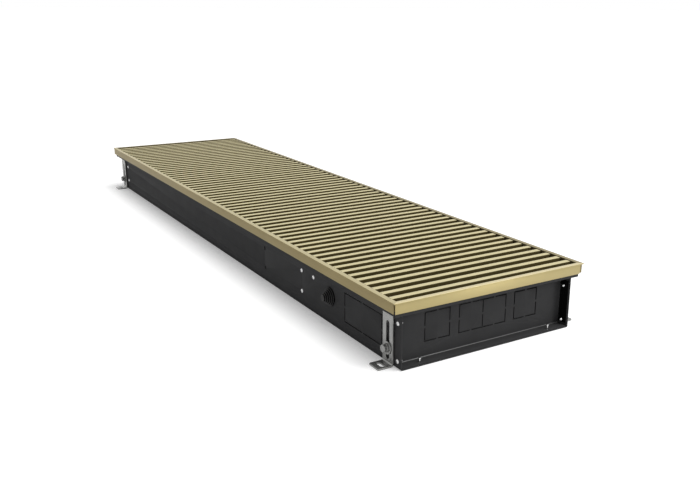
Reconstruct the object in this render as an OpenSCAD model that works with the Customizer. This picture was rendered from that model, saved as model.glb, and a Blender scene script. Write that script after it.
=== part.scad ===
// Floor trench convector with a roll-up cross grille, a clip-on rim, four height-adjustable
// feet, a finned tube heat exchanger and a cross-flow fan. Lengths are in millimetres.
// X runs along the trench towards the connection end, Y across it, Z up from its floor.

/* [Overall] */
// Length over the rim
convector_l = 1200; // [1000:10:1600]
// Width over the rim
convector_w = 300; // [280:5:340]
// Height from the underside of the trough to the top of the rim
convector_h = 90; // [86:1:110]

/* [Trough] */
// Thickness of the trough sheet
sheet_t = 1; // [0.8:0.1:1.2]
// Inside radius of the folds
bend_r = 1; // [0.6:0.1:1.6]
// From the rim's side to the outer face of a long wall
wall_inset = 15; // [14:0.5:20]
// From the rim's end to the end of a long wall
wall_end_inset = 6.5; // [6:0.1:8]
// Depth of the recess in front of an end plate
end_recess = 17; // [15:0.5:22]
// Height of the upstand that the rim clips over
upstand_h = 15.5; // [10:0.5:16]
// Clearance between folded sheets that lie together
sheet_gap = 0.1; // [0.05:0.05:0.2]

/* [Rim] */
// Width of the rim's top lip
lip_w = 6.8; // [6.5:0.1:8]
// Thickness of the lip
lip_t = 1.5; // [1:0.1:2]
// How far the lip stands out over the skirt
lip_overhang = 0.8; // [0.4:0.1:1]
// Height of the rim's skirt, lip included
skirt_h = 14; // [11:0.5:16]
// Thickness of the skirt
skirt_t = 1.8; // [1.4:0.1:1.9]
// Thickness of the rim's inner leg
inner_leg_t = 1; // [0.8:0.1:1.2]
// Clearance between the inner leg and the upstand
upstand_gap = 0.3; // [0.2:0.05:0.4]

/* [Grille] */
// Distance between slats, centre to centre
slat_pitch = 19.28; // [17:0.02:24]
// Width of a slat's top
slat_w = 9; // [7:0.5:11]
// Height of a slat
slat_h = 16.5; // [15:0.5:18]
// Wall thickness of a slat
slat_wall = 1.2; // [0.9:0.1:1.5]
// How far the slats lie below the rim's top
slat_drop = 0.7; // [0.3:0.1:1.5]
// Gap between a slat's end and the rim
slat_end_gap = 1.2; // [0.8:0.1:2]
// Least distance from the rim's end to the first slat's centre
slat_margin = 21.5; // [13:0.5:30]
// Thickness of the damping strip under the slats
strip_t = 1.8; // [1.2:0.1:2.5]
// Outer diameter of a spacer sleeve
sleeve_d = 9; // [7:0.5:10]
// Diameter of the spring that ties the slats
spring_d = 4.4; // [3:0.1:5]
// From a slat's end to the row of springs
spring_inset = 45; // [35:1:60]
// From a slat's top to the spring's axis
spring_drop = 11; // [9.5:0.25:11.5]

/* [Feet] */
// From the rim's end to a foot's centre
foot_inset = 32; // [31:1:33]
// Width of a foot
foot_w = 22; // [20:1:24]
// Thickness of a foot
foot_t = 2.2; // [2:0.1:3]
// How far a foot stands out past the rim
foot_overhang = 8; // [6:1:14]
// Height of a foot's bolt
foot_bolt_z = 22; // [20:1:24]
// Width of the long slot in a foot
foot_slot_w = 7; // [6.6:0.1:8]
// Lower end of the long slot
foot_slot_low = 7; // [6:0.5:9]
// Upper end of the long slot
foot_slot_high = 57; // [50:0.5:58]
// Length of the anchor slot in a foot's toe
anchor_slot_l = 14; // [10:1:16]
// Width of the anchor slot
anchor_slot_w = 6; // [5:0.5:7]

/* [Walls] */
// Width and height of an end plate's knockout
knockout_w = 37.6; // [30:0.2:38]
// Space between the middle and the outer knockouts
knockout_space = 14.7; // [10:0.5:20]
// Lower edge of the end knockouts
knockout_z = 22.5; // [14:0.5:24]
// Length of a long wall's knockout
side_knockout_l = 91; // [60:1:92]
// Height of a long wall's knockout
side_knockout_h = 40; // [30:1:42]
// Width of the slit round a knockout
slit_w = 1.5; // [0.8:0.1:2]
// Length of a tab that holds a knockout
tab_l = 3; // [2:0.5:4]
// Diameter of the grommet's hole in the wall
grommet_hole_d = 20; // [16:0.5:22]

/* [Heat exchanger] */
// Outer diameter of the water tubes
tube_d = 15; // [12:0.5:16]
// Wall of the water tubes
tube_wall = 1; // [0.7:0.1:1.5]
// Width of a fin
fin_w = 105; // [95:1:112]
// Height of a fin
fin_h = 50; // [44:1:52]
// Thickness of a fin
fin_t = 0.4; // [0.3:0.1:0.8]
// Distance between fins
fin_pitch = 7.5; // [5:0.5:15]
// Height of the upper and the lower tube row about their middle
row_space = 26; // [20:1:28]

/* [Fan] */
// Diameter of the fan rotor
fan_d = 46; // [40:1:48]
// Number of fan blades
blade_count = 20; // [12:1:24]
// Thickness of a blade
blade_t = 0.8; // [0.6:0.1:1.2]
// Diameter of the fan's shaft
shaft_d = 6; // [4:0.5:8]
// Diameter of the motor
motor_d = 48; // [40:1:50]

/* [Hidden] */
$fn = 48;

// Colours as the photograph shows them
GOLD = [0.80, 0.72, 0.50];
PALE_GOLD = [0.88, 0.84, 0.68];
BLACK_SHEET = [0.16, 0.16, 0.165];
RUBBER = [0.07, 0.07, 0.07];
ZINC = [0.74, 0.74, 0.72];
COPPER = [0.78, 0.45, 0.30];
ALUMINIUM = [0.80, 0.81, 0.82];
BRASS = [0.78, 0.64, 0.32];
GREY_PLASTIC = [0.55, 0.57, 0.58];
WHITE_PLASTIC = [0.88, 0.88, 0.85];

// Overrun that lets a cut pass clean through
over = 1;
// Running clearance of a shaft, and the same round a rivet, a bolt or a tube
run_gap = 0.05;
rivet_gap = 0.05;

// Half sizes over the rim
half_l = convector_l / 2;
half_w = convector_w / 2;

// Trough outline
fold_r = bend_r + sheet_t;
wall_out = half_w - wall_inset;
wall_in = wall_out - sheet_t;
wall_end = half_l - wall_end_inset;
ledge_z = convector_h - slat_drop - slat_h - strip_t;
ledge_under = ledge_z - sheet_t;
upstand_top = ledge_z + upstand_h;
upstand_in_y = half_w - lip_w + inner_leg_t + upstand_gap;
upstand_out_y = upstand_in_y + sheet_t;
upstand_out_x = half_l - lip_w + inner_leg_t + upstand_gap + sheet_t;

// What stands in a folded corner keeps clear of its inside radius by this much
corner_relief = bend_r + sheet_gap;

// End plates
end_face = wall_end - end_recess;
end_half = wall_in - sheet_gap;
end_flange_l = end_recess - 1.5 * sheet_t;
floor_rivet_share = 0.62;
floor_rivet_x = end_face + end_recess * floor_rivet_share;
end_flange_low = 5 * sheet_t;
end_flange_high = ledge_under - 5 * sheet_t;

// Rim
rim_plane = convector_h;
corner_slit = 1.5;
near_slit_front = 0.6;
near_slit_rear = 4.8;
rib_h = 1;
rib_gap = 0.3;
leg_low = ledge_z + corner_relief;
key_l = 26;
key_gap = 0.2;
key_h = 8;

// Rivets, as blind rivets with a domed head
rivet_d = 3.2;
rivet_head_d = 6;
rivet_head_h = 1.3;
rivet_tail_d = 4.4;
rivet_tail_h = 5;
floor_tail_h = 6.5;
floor_rivet_y = 104;
end_rivet_low_z = 9.5;
end_rivet_high_z = 58;
low_head_d = 5.6;
low_head_h = 0.8;
screw_d = 3.5;
screw_head_d = 6;
screw_head_h = 1.2;
screw_l = 8;
pair_low_z = 22;
pair_high_z = 53;

// Stations along the trough, from the connection end and from the far end
near_bulkhead_inset = 265;
box_rivet_inset = 229;
grommet_inset = 180.5;
side_knockout_inset = 141;
fan_screw_inset = 392;
far_bulkhead_inset = 56.5;
near_bulkhead_x = half_l - near_bulkhead_inset;
box_rivet_x = half_l - box_rivet_inset;
grommet_x = half_l - grommet_inset;
side_knockout_x = half_l - side_knockout_inset;
fan_screw_x = half_l - fan_screw_inset;
far_bulkhead_x = -half_l + far_bulkhead_inset;
foot_x = half_l - foot_inset;

// Feet and their bolts
foot_spacer_t = 1;
foot_in = wall_out + foot_spacer_t;
foot_out = foot_in + foot_t;
foot_toe = half_w + foot_overhang;
foot_top_gap = 1.5;
foot_top = ledge_under - foot_top_gap;
foot_bend_r = 2.5;
toe_round_r = 2;
anchor_inset = 9.7;
anchor_y = foot_toe - anchor_inset;
bolt_d = 6;
bolt_head_af = 10;
bolt_head_h = 4.4;
bolt_corner_share = 1.1;
bolt_l = 20;
washer_d = 17;
washer_t = 1.6;
lock_washer_d = 11;
nut_d = 9;
nut_flange_d = 12.5;
nut_l = 11;
backing_t = 2;
backing_w = 17;
backing_low = 8;
backing_high = 62;
foot_rivet_z = 54;

// Slats: as many as fit between the margins, the last few rolling up
roll_count = 8;
slat_count = floor((convector_l - 2 * slat_margin) / slat_pitch) + 1;
slat_first = -(slat_count - 1) * slat_pitch / 2;
main_count = slat_count - roll_count;
slat_top = convector_h - slat_drop;
slat_low = slat_top - slat_h;
slat_half = half_w - lip_w - slat_end_gap;
slat_round = 0.9;
slat_crown = 0.25;
slat_top_t = 1.6;
slat_foot_w = 1.4;
slat_foot_t = 1.2;
spring_z = slat_top - spring_drop;
spring_y = slat_half - spring_inset;
spring_gap = 0.3;
sleeve_bore = spring_d + 2 * spring_gap;
sleeve_gap = 0.3;
sleeve_l = slat_pitch - slat_w - 2 * sleeve_gap;
clip_d = 7.4;
clip_t = 1.2;
strip_gap = 0.3;

// Knockouts and the cable grommet
knockout_h = knockout_w;
side_knockout_z = 17.5;
grommet_z = 40;
grommet_flange_d = 26;
grommet_flange_t = 2.2;
grommet_steps = 5;
grommet_step_l = 2;
grommet_tip_d = 9;
grommet_step_share = 0.7;
grommet_wall = 1.4;
grommet_lip_d = 24;
grommet_lip_t = 2;

// Heat exchanger: two tube columns in line with the knockouts of the connection end
column_a = knockout_w / 2;
column_b = knockout_w + knockout_space + knockout_w / 2;
column_mid = (column_a + column_b) / 2;
cradle_h = 11;
fin_low = sheet_t + cradle_h;
row_mid = fin_low + fin_h / 2;
row_low = row_mid - row_space / 2;
row_high = row_mid + row_space / 2;
fin_far_inset = 43.5;
fin_near_inset = 52;
fin_from = far_bulkhead_x + fin_far_inset;
fin_to = near_bulkhead_x - fin_near_inset;
fin_count = floor((fin_to - fin_from) / fin_pitch) + 1;
tube_stub = 3;
cradle_l = 24;
cradle_inset = 80;
bend_gap = 0.3;
tube_r = tube_d / 2;
bore_r = tube_r - tube_wall;

// Bulkheads
bulkhead_flange = 15;
bulkhead_face = near_bulkhead_x - bulkhead_flange / 2;
far_face = far_bulkhead_x + bulkhead_flange / 2;
bulkhead_top = ledge_under - 3 * sheet_t;
bulkhead_low = sheet_t + sheet_gap;
flange_low = sheet_t + corner_relief;
tube_hole_gap = 1;

// Unions with a half-inch internal thread at the connection end
thread_r = 9.3;
thread_l = 14;
union_d = 24;
union_af = 25;
union_hex_l = 11;
union_l = 38;
union_socket = 10;
union_stand = 12;
union_x = near_bulkhead_x + union_stand;
vent_x = union_x + (union_l - thread_l + union_hex_l) / 2;
vent_d = 9;
vent_h = 6;
vent_bore_d = 4.4;
vent_screw_d = 4;
vent_head_d = 6.4;
vent_head_h = 1.6;
vent_slot_w = 1.2;
vent_screw_l = 5;

// Fan along the front wall
fan_wall_gap = 46;
fan_y = -wall_in + fan_wall_gap;
fan_z = 36;
bearing_x = far_face + sheet_t;
fan_far_gap = 35;
fan_near_gap = 12;
fan_from = bearing_x + fan_far_gap;
fan_to = fan_screw_x - fan_near_gap;
disc_count = 7;
disc_t = 1.6;
blade_share = 0.72;
blade_chord_share = 0.8;
blade_sweep_share = 0.55;
hub_d = 16;
housing_gap = 3;
housing_t = 1;
housing_lead = 34;
tongue_h = 9;
bracket_t = 1.5;
bracket_w = 62;
bracket_flange = 14;
motor_l = 46;
motor_flange_t = 3;
motor_rib_count = 16;
motor_rib_t = 2;
motor_rib_h = 1.5;
shaft_in_motor = 20;
bearing_l = 10;
bearing_d = 22;
bearing_foot_t = 3;
lead_d = 5;

// Control box in the connection bay
box_stand = 13;
box_from = near_bulkhead_x + box_stand;
box_l = 52;
box_w = 60;
box_h = 46;
box_wall = 2;
box_wall_gap = 2.5;
box_y = -wall_in + box_wall_gap;
ear_w = 14;
ear_t = 1.5;
lid_t = 2;
lid_rim_h = 3;
lid_gap = 0.2;
boss_d = 7;
boss_inset = (box_wall + boss_d) / 2;
boss_xs = [box_from + boss_inset, box_from + box_l - boss_inset];
terminal_l = 34;
terminal_w = 16;
terminal_h = 14;
terminal_poles = 5;
terminal_base_share = 0.7;
pole_gap_share = 0.1;
terminal_bore_d = 3.6;

// A box between two corners
module block(lo, hi) {
    translate(lo) cube(hi - lo);
}

// A flat shape in Y and Z, extruded along X
module along_x(x0, x1) {
    translate([x0, 0, 0]) rotate([90, 0, 90]) linear_extrude(x1 - x0) children();
}

// A flat shape in X and Z, extruded along Y
module along_y(y0, y1) {
    translate([0, y1, 0]) rotate([90, 0, 0]) linear_extrude(y1 - y0) children();
}

// Round bars along each axis
module rod_x(x0, x1, y, z, d) {
    translate([x0, y, z]) rotate([0, 90, 0]) cylinder(h = x1 - x0, d = d);
}

module rod_y(x, y0, y1, z, d) {
    translate([x, y1, z]) rotate([90, 0, 0]) cylinder(h = y1 - y0, d = d);
}

module rod_z(x, y, z0, z1, d) {
    translate([x, y, z0]) cylinder(h = z1 - z0, d = d);
}

// A hollow bar along X
module pipe_x(x0, x1, y, z, d, bore) {
    difference() {
        rod_x(x0, x1, y, z, d);
        rod_x(x0 - over, x1 + over, y, z, bore);
    }
}

// Repeats its children in mirror image
module both_sides() {
    children();
    mirror([0, 1, 0]) children();
}

module both_ends() {
    children();
    mirror([1, 0, 0]) children();
}

module corners() {
    both_ends() both_sides() children();
}

// Quarter of a folded sheet round centre c, in the quadrant of the signs sx and sy
module fold(c, sx, sy, r = bend_r, t = sheet_t) {
    outer = r + t;
    translate(c) intersection() {
        difference() {
            circle(r = outer);
            circle(r = r);
        }
        translate([sx < 0 ? -outer : 0, sy < 0 ? -outer : 0]) square(outer);
    }
}

// A flat strip of sheet between two corners
module strip(lo, hi) {
    translate(lo) square(hi - lo);
}

// A slit round a rectangle in X and Z, left standing at a tab in the middle of each side
module slit_frame(w, h) {
    half_s = slit_w / 2;
    difference() {
        translate([-half_s, -half_s]) square([w + slit_w, h + slit_w]);
        translate([half_s, half_s]) square([w - slit_w, h - slit_w]);
        translate([(w - tab_l) / 2, -slit_w]) square([tab_l, h + 2 * slit_w]);
        translate([-slit_w, (h - tab_l) / 2]) square([w + 2 * slit_w, tab_l]);
    }
}

// Half outline of a low dome below zero
module dome(d, h) {
    r = (d * d / 4 + h * h) / (2 * h);
    intersection() {
        translate([0, r - h]) circle(r = r);
        translate([0, -h]) square([d / 2, h]);
    }
}

// Blind rivet along +Z: domed head below zero, or none, shank through the grip, bulb above it
module rivet(grip, tail = rivet_tail_h, head_d = rivet_head_d, head_h = rivet_head_h) {
    bulb_r = rivet_tail_d / 2;
    rotate_extrude() {
        if (head_h > 0) dome(head_d, head_h);
        square([rivet_d / 2, grip + tail - bulb_r]);
        translate([0, grip]) square([bulb_r, tail - bulb_r]);
        intersection() {
            translate([0, grip + tail - bulb_r]) circle(r = bulb_r);
            translate([0, grip + tail - bulb_r]) square(bulb_r);
        }
    }
}

// Rivet through the front wall at a station, head outside
module wall_rivet(x, z, grip) {
    translate([x, -wall_out, z]) rotate([-90, 0, 0]) rivet(grip);
}

// Cross section of the trough: floor, walls, ledges and upstands folded from one sheet
module trough_section() {
    strip([-wall_out + fold_r, 0], [wall_out - fold_r, sheet_t]);
    for (side = [0, 1]) mirror([side, 0]) {
        fold([wall_out - fold_r, fold_r], 1, -1);
        strip([wall_in, fold_r], [wall_out, ledge_under - bend_r]);
        fold([wall_out + bend_r, ledge_under - bend_r], -1, 1);
        strip([wall_out + bend_r, ledge_under], [upstand_out_y - fold_r, ledge_z]);
        fold([upstand_out_y - fold_r, ledge_under + fold_r], 1, -1);
        strip([upstand_in_y, ledge_under + fold_r], [upstand_out_y, upstand_top]);
    }
}

// Holes in the front and rear walls for what is riveted or bolted to them
module wall_holes() {
    hole = rivet_d + 2 * rivet_gap;
    corners() {
        for (z = [end_rivet_low_z, end_rivet_high_z])
            rod_y(end_face + end_recess / 2, -wall_out - over, -wall_in + over, z, hole);
        rod_y(foot_x, -wall_out - over, -wall_in + over, foot_bolt_z, nut_d + 2 * rivet_gap);
        rod_y(foot_x, -wall_out - over, -wall_in + over, foot_rivet_z, hole);
    }
    both_sides() for (z = [pair_low_z, pair_high_z]) {
        rod_y(near_bulkhead_x, -wall_out - over, -wall_in + over, z, hole);
        rod_y(far_bulkhead_x, -wall_out - over, -wall_in + over, z, hole);
    }
    for (z = [pair_low_z, pair_high_z])
        rod_y(fan_screw_x, -wall_out - over, -wall_in + over, z, screw_d + 2 * rivet_gap);
    rod_y(box_rivet_x, -wall_out - over, -wall_in + over, pair_high_z, hole);
    rod_y(grommet_x, -wall_out - over, -wall_in + over, grommet_z, grommet_hole_d);
}

module trough() {
    color(BLACK_SHEET) difference() {
        along_x(-wall_end, wall_end) trough_section();
        wall_holes();
        both_sides() along_y(-wall_out - over, -wall_in + over)
            translate([side_knockout_x, side_knockout_z]) slit_frame(side_knockout_l, side_knockout_h);
        corners() translate([floor_rivet_x, floor_rivet_y, 0])
            cylinder(h = 2 * sheet_t, d = rivet_d + 2 * rivet_gap);
    }
}

// End plate: a wall with its bottom, sides and top folded outwards, and an upstand
module end_plate() {
    plate_in = end_face - sheet_t;
    floor_z = sheet_t + sheet_gap;
    flange_z = floor_z + sheet_t;
    wide = upstand_out_y;
    step_x = wall_end + sheet_gap;
    side_half = end_half - fold_r;
    difference() {
        union() {
            along_y(-side_half, side_half) {
                strip([end_face + bend_r, floor_z], [end_face + end_flange_l, flange_z]);
                fold([end_face + bend_r, flange_z + bend_r], -1, -1);
                strip([plate_in, flange_z + bend_r], [end_face, ledge_under - bend_r]);
                fold([end_face + bend_r, ledge_under - bend_r], -1, 1);
            }
            along_y(-end_half, end_half)
                strip([end_face + bend_r, ledge_under], [step_x, ledge_z]);
            along_y(-wide, wide) {
                strip([step_x, ledge_under], [upstand_out_x - fold_r, ledge_z]);
                fold([upstand_out_x - fold_r, ledge_under + fold_r], 1, -1);
                strip([upstand_out_x - sheet_t, ledge_under + fold_r], [upstand_out_x, upstand_top]);
            }
            both_sides() translate([0, 0, end_flange_low]) linear_extrude(end_flange_high - end_flange_low) {
                fold([end_face + bend_r, side_half], -1, 1);
                strip([end_face + bend_r, end_half - sheet_t], [end_face + end_flange_l, end_half]);
            }
        }
        for (k = [-2, -1, 0, 1]) {
            low = abs(k + 0.5) < 1 ? 0 : knockout_w + knockout_space;
            y0 = k < 0 ? -low - knockout_w : low;
            translate([0, y0, knockout_z]) along_x(plate_in - over, end_face + over)
                slit_frame(knockout_w, knockout_h);
        }
        both_sides() for (z = [end_rivet_low_z, end_rivet_high_z])
            rod_y(end_face + end_recess / 2, -wall_out, -end_half + 2 * sheet_t, z, rivet_d + 2 * rivet_gap);
        both_sides() rod_z(floor_rivet_x, floor_rivet_y, 0, flange_z + over,
            rivet_d + 2 * rivet_gap);
    }
}

module end_plate_near() {
    color(BLACK_SHEET) end_plate();
}

module end_plate_far() {
    color(BLACK_SHEET) mirror([1, 0, 0]) end_plate();
}

// Plan of a rim leg between two insets from the rim's outer edge, mitred or trimmed at its ends
module rim_leg(half, edge, inset, t, trim_a, trim_b) {
    polygon([
        [-half + inset + trim_a, -edge + inset],
        [half - inset - trim_b, -edge + inset],
        [half - inset - t - trim_b, -edge + inset + t],
        [-half + inset + t + trim_a, -edge + inset + t]
    ]);
}

// One side of the rim, drawn along X with its outer edge at -edge
module rim_side(half, edge, trim_a, trim_b) {
    inner_inset = lip_w - inner_leg_t;
    rib_inset = lip_overhang + skirt_t;
    rib_t = inner_inset - upstand_gap - sheet_t - rib_inset - rib_gap;
    translate([0, 0, rim_plane - lip_t]) linear_extrude(lip_t)
        rim_leg(half, edge, 0, lip_w, 0, 0);
    translate([0, 0, leg_low]) linear_extrude(rim_plane - lip_t - leg_low)
        rim_leg(half, edge, inner_inset, inner_leg_t, 0, 0);
    translate([0, 0, rim_plane - skirt_h]) linear_extrude(skirt_h - lip_t)
        rim_leg(half, edge, lip_overhang, skirt_t, trim_a, trim_b);
    translate([0, 0, rim_plane - lip_t - rib_h]) linear_extrude(rib_h)
        rim_leg(half, edge, rib_inset, rib_t, trim_a, trim_b);
}

module rim_front() {
    color(GOLD) rim_side(half_l, half_w, corner_slit, corner_slit);
}

module rim_rear() {
    color(GOLD) mirror([0, 1, 0]) rim_side(half_l, half_w, corner_slit, corner_slit);
}

module rim_near() {
    color(GOLD) rotate([0, 0, 90]) rim_side(half_w, half_l, near_slit_front, near_slit_rear);
}

module rim_far() {
    color(GOLD) rotate([0, 0, -90]) rim_side(half_w, half_l, near_slit_rear, near_slit_front);
}

// Angle keys that hold the rim's corners, in the channel between skirt and upstand
module rim_corner_keys() {
    key_z = rim_plane - lip_t - rib_h - rib_gap - key_h;
    outer_x = half_l - lip_overhang - skirt_t - key_gap;
    outer_y = half_w - lip_overhang - skirt_t - key_gap;
    key_t = outer_y - upstand_out_y - key_gap;
    color(GOLD) corners() difference() {
        block([outer_x - key_l, -outer_y, key_z], [outer_x, -outer_y + key_l, key_z + key_h]);
        block([outer_x - key_l - over, -outer_y + key_t, key_z - over],
            [outer_x - key_t, -outer_y + key_l + over, key_z + key_h + over]);
    }
}

module ledge_strips() {
    outer = half_w - lip_w - strip_gap;
    color(RUBBER) both_sides()
        block([-wall_end + strip_gap, wall_in + strip_gap, ledge_z],
            [wall_end - strip_gap, outer, ledge_z + strip_t]);
}

module end_rivets() {
    color(ZINC) corners() {
        for (z = [end_rivet_low_z, end_rivet_high_z])
            translate([end_face + end_recess / 2, -wall_out, z]) rotate([-90, 0, 0])
                rivet(2 * sheet_t + sheet_gap);
        translate([floor_rivet_x, floor_rivet_y, 0])
            rivet(2 * sheet_t + sheet_gap, floor_tail_h, rivet_d, 0);
    }
}

module wall_rivets() {
    grip = 2 * sheet_t + sheet_gap;
    color(ZINC) {
        both_sides() for (z = [pair_low_z, pair_high_z]) {
            wall_rivet(near_bulkhead_x, z, grip);
            wall_rivet(far_bulkhead_x, z, grip);
        }
        wall_rivet(box_rivet_x, pair_high_z, sheet_t + box_y + wall_in + ear_t);
        corners() translate([foot_x, -wall_out, foot_rivet_z]) rotate([-90, 0, 0])
            rivet(sheet_t + sheet_gap + backing_t, rivet_tail_h, low_head_d, low_head_h);
    }
}

// Pan head screws: two hold the motor bracket to the front wall, two hold the box's lid
module black_screws() {
    lid_top = sheet_t + sheet_gap + box_h + lid_t;
    color(RUBBER) {
        for (z = [pair_low_z, pair_high_z]) {
            rod_y(fan_screw_x, -wall_out - screw_head_h, -wall_out, z, screw_head_d);
            rod_y(fan_screw_x, -wall_out, -wall_out + screw_l, z, screw_d);
        }
        for (x = boss_xs) {
            rod_z(x, box_y + box_w / 2, lid_top, lid_top + screw_head_h, screw_head_d);
            rod_z(x, box_y + box_w / 2, lid_top - screw_l, lid_top, screw_d);
        }
    }
}

// Stepped rubber grommet, snapped into the front wall, its tip not yet cut
module cable_grommet() {
    step_d = (grommet_flange_d - grommet_tip_d) / grommet_steps;
    cone_l = grommet_steps * grommet_step_l;
    neck_d = grommet_hole_d - 2 * rivet_gap;
    color(RUBBER) translate([grommet_x, -wall_out, grommet_z]) rotate([90, 0, 0]) difference() {
        union() {
            cylinder(h = grommet_flange_t, d = grommet_flange_d);
            for (k = [1:grommet_steps])
                translate([0, 0, grommet_flange_t]) cylinder(h = k * grommet_step_l,
                    d = grommet_flange_d - (k - 1 + grommet_step_share) * step_d);
            translate([0, 0, -sheet_t - rivet_gap]) cylinder(h = sheet_t + 2 * rivet_gap, d = neck_d);
            translate([0, 0, -sheet_t - rivet_gap - grommet_lip_t])
                cylinder(h = grommet_lip_t, d = grommet_lip_d);
        }
        translate([0, 0, -sheet_t - grommet_lip_t - over])
            cylinder(h = sheet_t + grommet_lip_t + over + grommet_flange_t, d = neck_d - 2 * grommet_wall);
        for (k = [1:grommet_steps - 1])
            translate([0, 0, grommet_flange_t - over])
                cylinder(h = k * grommet_step_l + over - grommet_wall / 2,
                    d = grommet_flange_d - (k + grommet_step_share) * step_d - 2 * grommet_wall);
    }
}

// Sheet bulkhead whose sides are folded towards the trough's end and riveted to the walls
module bulkhead(face, toward) {
    half = wall_in - sheet_gap;
    inner = half - fold_r;
    flange_x = toward * bulkhead_flange;
    along_x(min(face, face - toward * sheet_t), max(face, face - toward * sheet_t))
        strip([-inner, bulkhead_low], [inner, bulkhead_top]);
    both_sides() translate([0, 0, flange_low]) linear_extrude(bulkhead_top - flange_low) {
        fold([face + toward * bend_r, inner], -toward, 1);
        strip([min(face + toward * bend_r, face + flange_x), half - sheet_t],
            [max(face + toward * bend_r, face + flange_x), half]);
    }
}

module near_bulkhead() {
    hole = tube_d + 2 * tube_hole_gap;
    color(BLACK_SHEET) difference() {
        bulkhead(bulkhead_face, 1);
        for (y = [column_a, column_b])
            rod_x(bulkhead_face - 2 * sheet_t, bulkhead_face + sheet_t, y, row_high, hole);
        rod_x(bulkhead_face - 2 * sheet_t, bulkhead_face + sheet_t, fan_y, fan_z, lead_d + 2 * rivet_gap);
        both_sides() for (z = [pair_low_z, pair_high_z])
            rod_y(near_bulkhead_x, -wall_out, -wall_in + 2 * sheet_t, z, rivet_d + 2 * rivet_gap);
    }
}

module far_bulkhead() {
    color(BLACK_SHEET) difference() {
        bulkhead(far_face, -1);
        both_sides() for (z = [pair_low_z, pair_high_z])
            rod_y(far_bulkhead_x, -wall_out, -wall_in + 2 * sheet_t, z, rivet_d + 2 * rivet_gap);
    }
}

// Four water tubes: the upper two run on into the unions
module exchanger_tubes() {
    end_x = union_x + union_socket;
    color(COPPER) for (y = [column_a, column_b]) {
        pipe_x(fin_from - tube_stub, fin_to + tube_stub, y, row_low, tube_d, 2 * bore_r);
        pipe_x(fin_from - tube_stub, end_x, y, row_high, tube_d, 2 * bore_r);
    }
}

// Half turn of tube in the plane of X and Z or, when flat, of X and Y
module half_turn(radius) {
    rotate_extrude(angle = 180) translate([radius, 0]) difference() {
        circle(r = tube_r);
        circle(r = bore_r);
    }
}

module return_bends() {
    near_x = fin_to + tube_stub + bend_gap;
    far_x = fin_from - tube_stub - bend_gap;
    color(COPPER) {
        translate([near_x, column_mid, row_low]) rotate([0, 0, -90]) half_turn((column_b - column_a) / 2);
        for (y = [column_a, column_b])
            translate([far_x, y, row_mid]) rotate([90, 0, 0]) rotate([0, 0, 90]) half_turn(row_space / 2);
    }
}

module exchanger_fins() {
    hole_r = tube_r + run_gap;
    color(ALUMINIUM) for (k = [0:fin_count - 1])
        along_x(fin_from + k * fin_pitch, fin_from + k * fin_pitch + fin_t) difference() {
            strip([column_mid - fin_w / 2, fin_low], [column_mid + fin_w / 2, fin_low + fin_h]);
            for (y = [column_a, column_b], z = [row_low, row_high]) translate([y, z]) circle(r = hole_r);
        }
}

// Low channels on the trough's floor that carry the fins
module exchanger_cradles() {
    color(ZINC) for (x = [fin_from + cradle_inset, fin_to - cradle_inset - cradle_l]) difference() {
        block([x, column_mid - fin_w / 2, sheet_t], [x + cradle_l, column_mid + fin_w / 2, fin_low]);
        block([x - over, column_mid - fin_w / 2 + bracket_t, sheet_t - over],
            [x + cradle_l + over, column_mid + fin_w / 2 - bracket_t, fin_low - bracket_t]);
    }
}

// Union: hexagon and barrel with a threaded bore to the trench's end and a tube socket behind
module union_body(y) {
    hex_d = union_af / cos(30);
    difference() {
        union() {
            translate([union_x, y, row_high]) rotate([0, 90, 0])
                cylinder(h = union_hex_l, d = hex_d, $fn = 6);
            rod_x(union_x, union_x + union_l, y, row_high, union_d);
        }
        rod_x(union_x - over, union_x + union_socket + rivet_gap, y, row_high, tube_d + 2 * rivet_gap);
        rod_x(union_x, union_x + union_l, y, row_high, 2 * bore_r);
        rod_x(union_x + union_l - thread_l, union_x + union_l + over, y, row_high, 2 * thread_r);
    }
}

module supply_union() {
    color(BRASS) union_body(column_a);
}

module return_union() {
    color(BRASS) difference() {
        union_body(column_b);
        rod_z(vent_x, column_b, row_high, row_high + union_d, vent_d + 2 * rivet_gap);
    }
}

// Air vent screwed into the top of the return union
module bleed_valve() {
    low = row_high + bore_r + tube_wall + union_hex_l / 8;
    top = row_high + union_d / 2 + vent_h / 2;
    color(BRASS) difference() {
        rod_z(vent_x, column_b, low, top, vent_d);
        rod_z(vent_x, column_b, low - over, top + over, vent_bore_d);
    }
}

module bleed_screw() {
    top = row_high + union_d / 2 + vent_h / 2 + run_gap;
    color(ZINC) difference() {
        union() {
            rod_z(vent_x, column_b, top - vent_screw_l, top, vent_screw_d);
            rod_z(vent_x, column_b, top, top + vent_head_h, vent_head_d);
        }
        block([vent_x - vent_head_d, column_b - vent_slot_w / 2, top + vent_head_h / 2],
            [vent_x + vent_head_d, column_b + vent_slot_w / 2, top + vent_head_h + over]);
    }
}

// Air guide: a scroll under and behind the rotor with a lead-out plate, and a tongue in front
module housing_section() {
    scroll_r = fan_d / 2 + housing_gap;
    outer = scroll_r + housing_t;
    translate([fan_y, fan_z]) {
        difference() {
            circle(r = outer);
            circle(r = scroll_r);
            square([outer + over, outer + over]);
            translate([0, -outer - over]) square([outer + over, outer + over]);
            translate([-outer - over, outer / 3]) square([outer + over, outer]);
        }
        strip([0, -outer], [housing_lead, -scroll_r]);
        strip([-outer, outer / 3 - over], [-scroll_r + housing_t, fan_d / 2]);
        strip([scroll_r, 0], [outer, tongue_h]);
        strip([scroll_r, 0], [housing_lead, housing_t]);
    }
}

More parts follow.
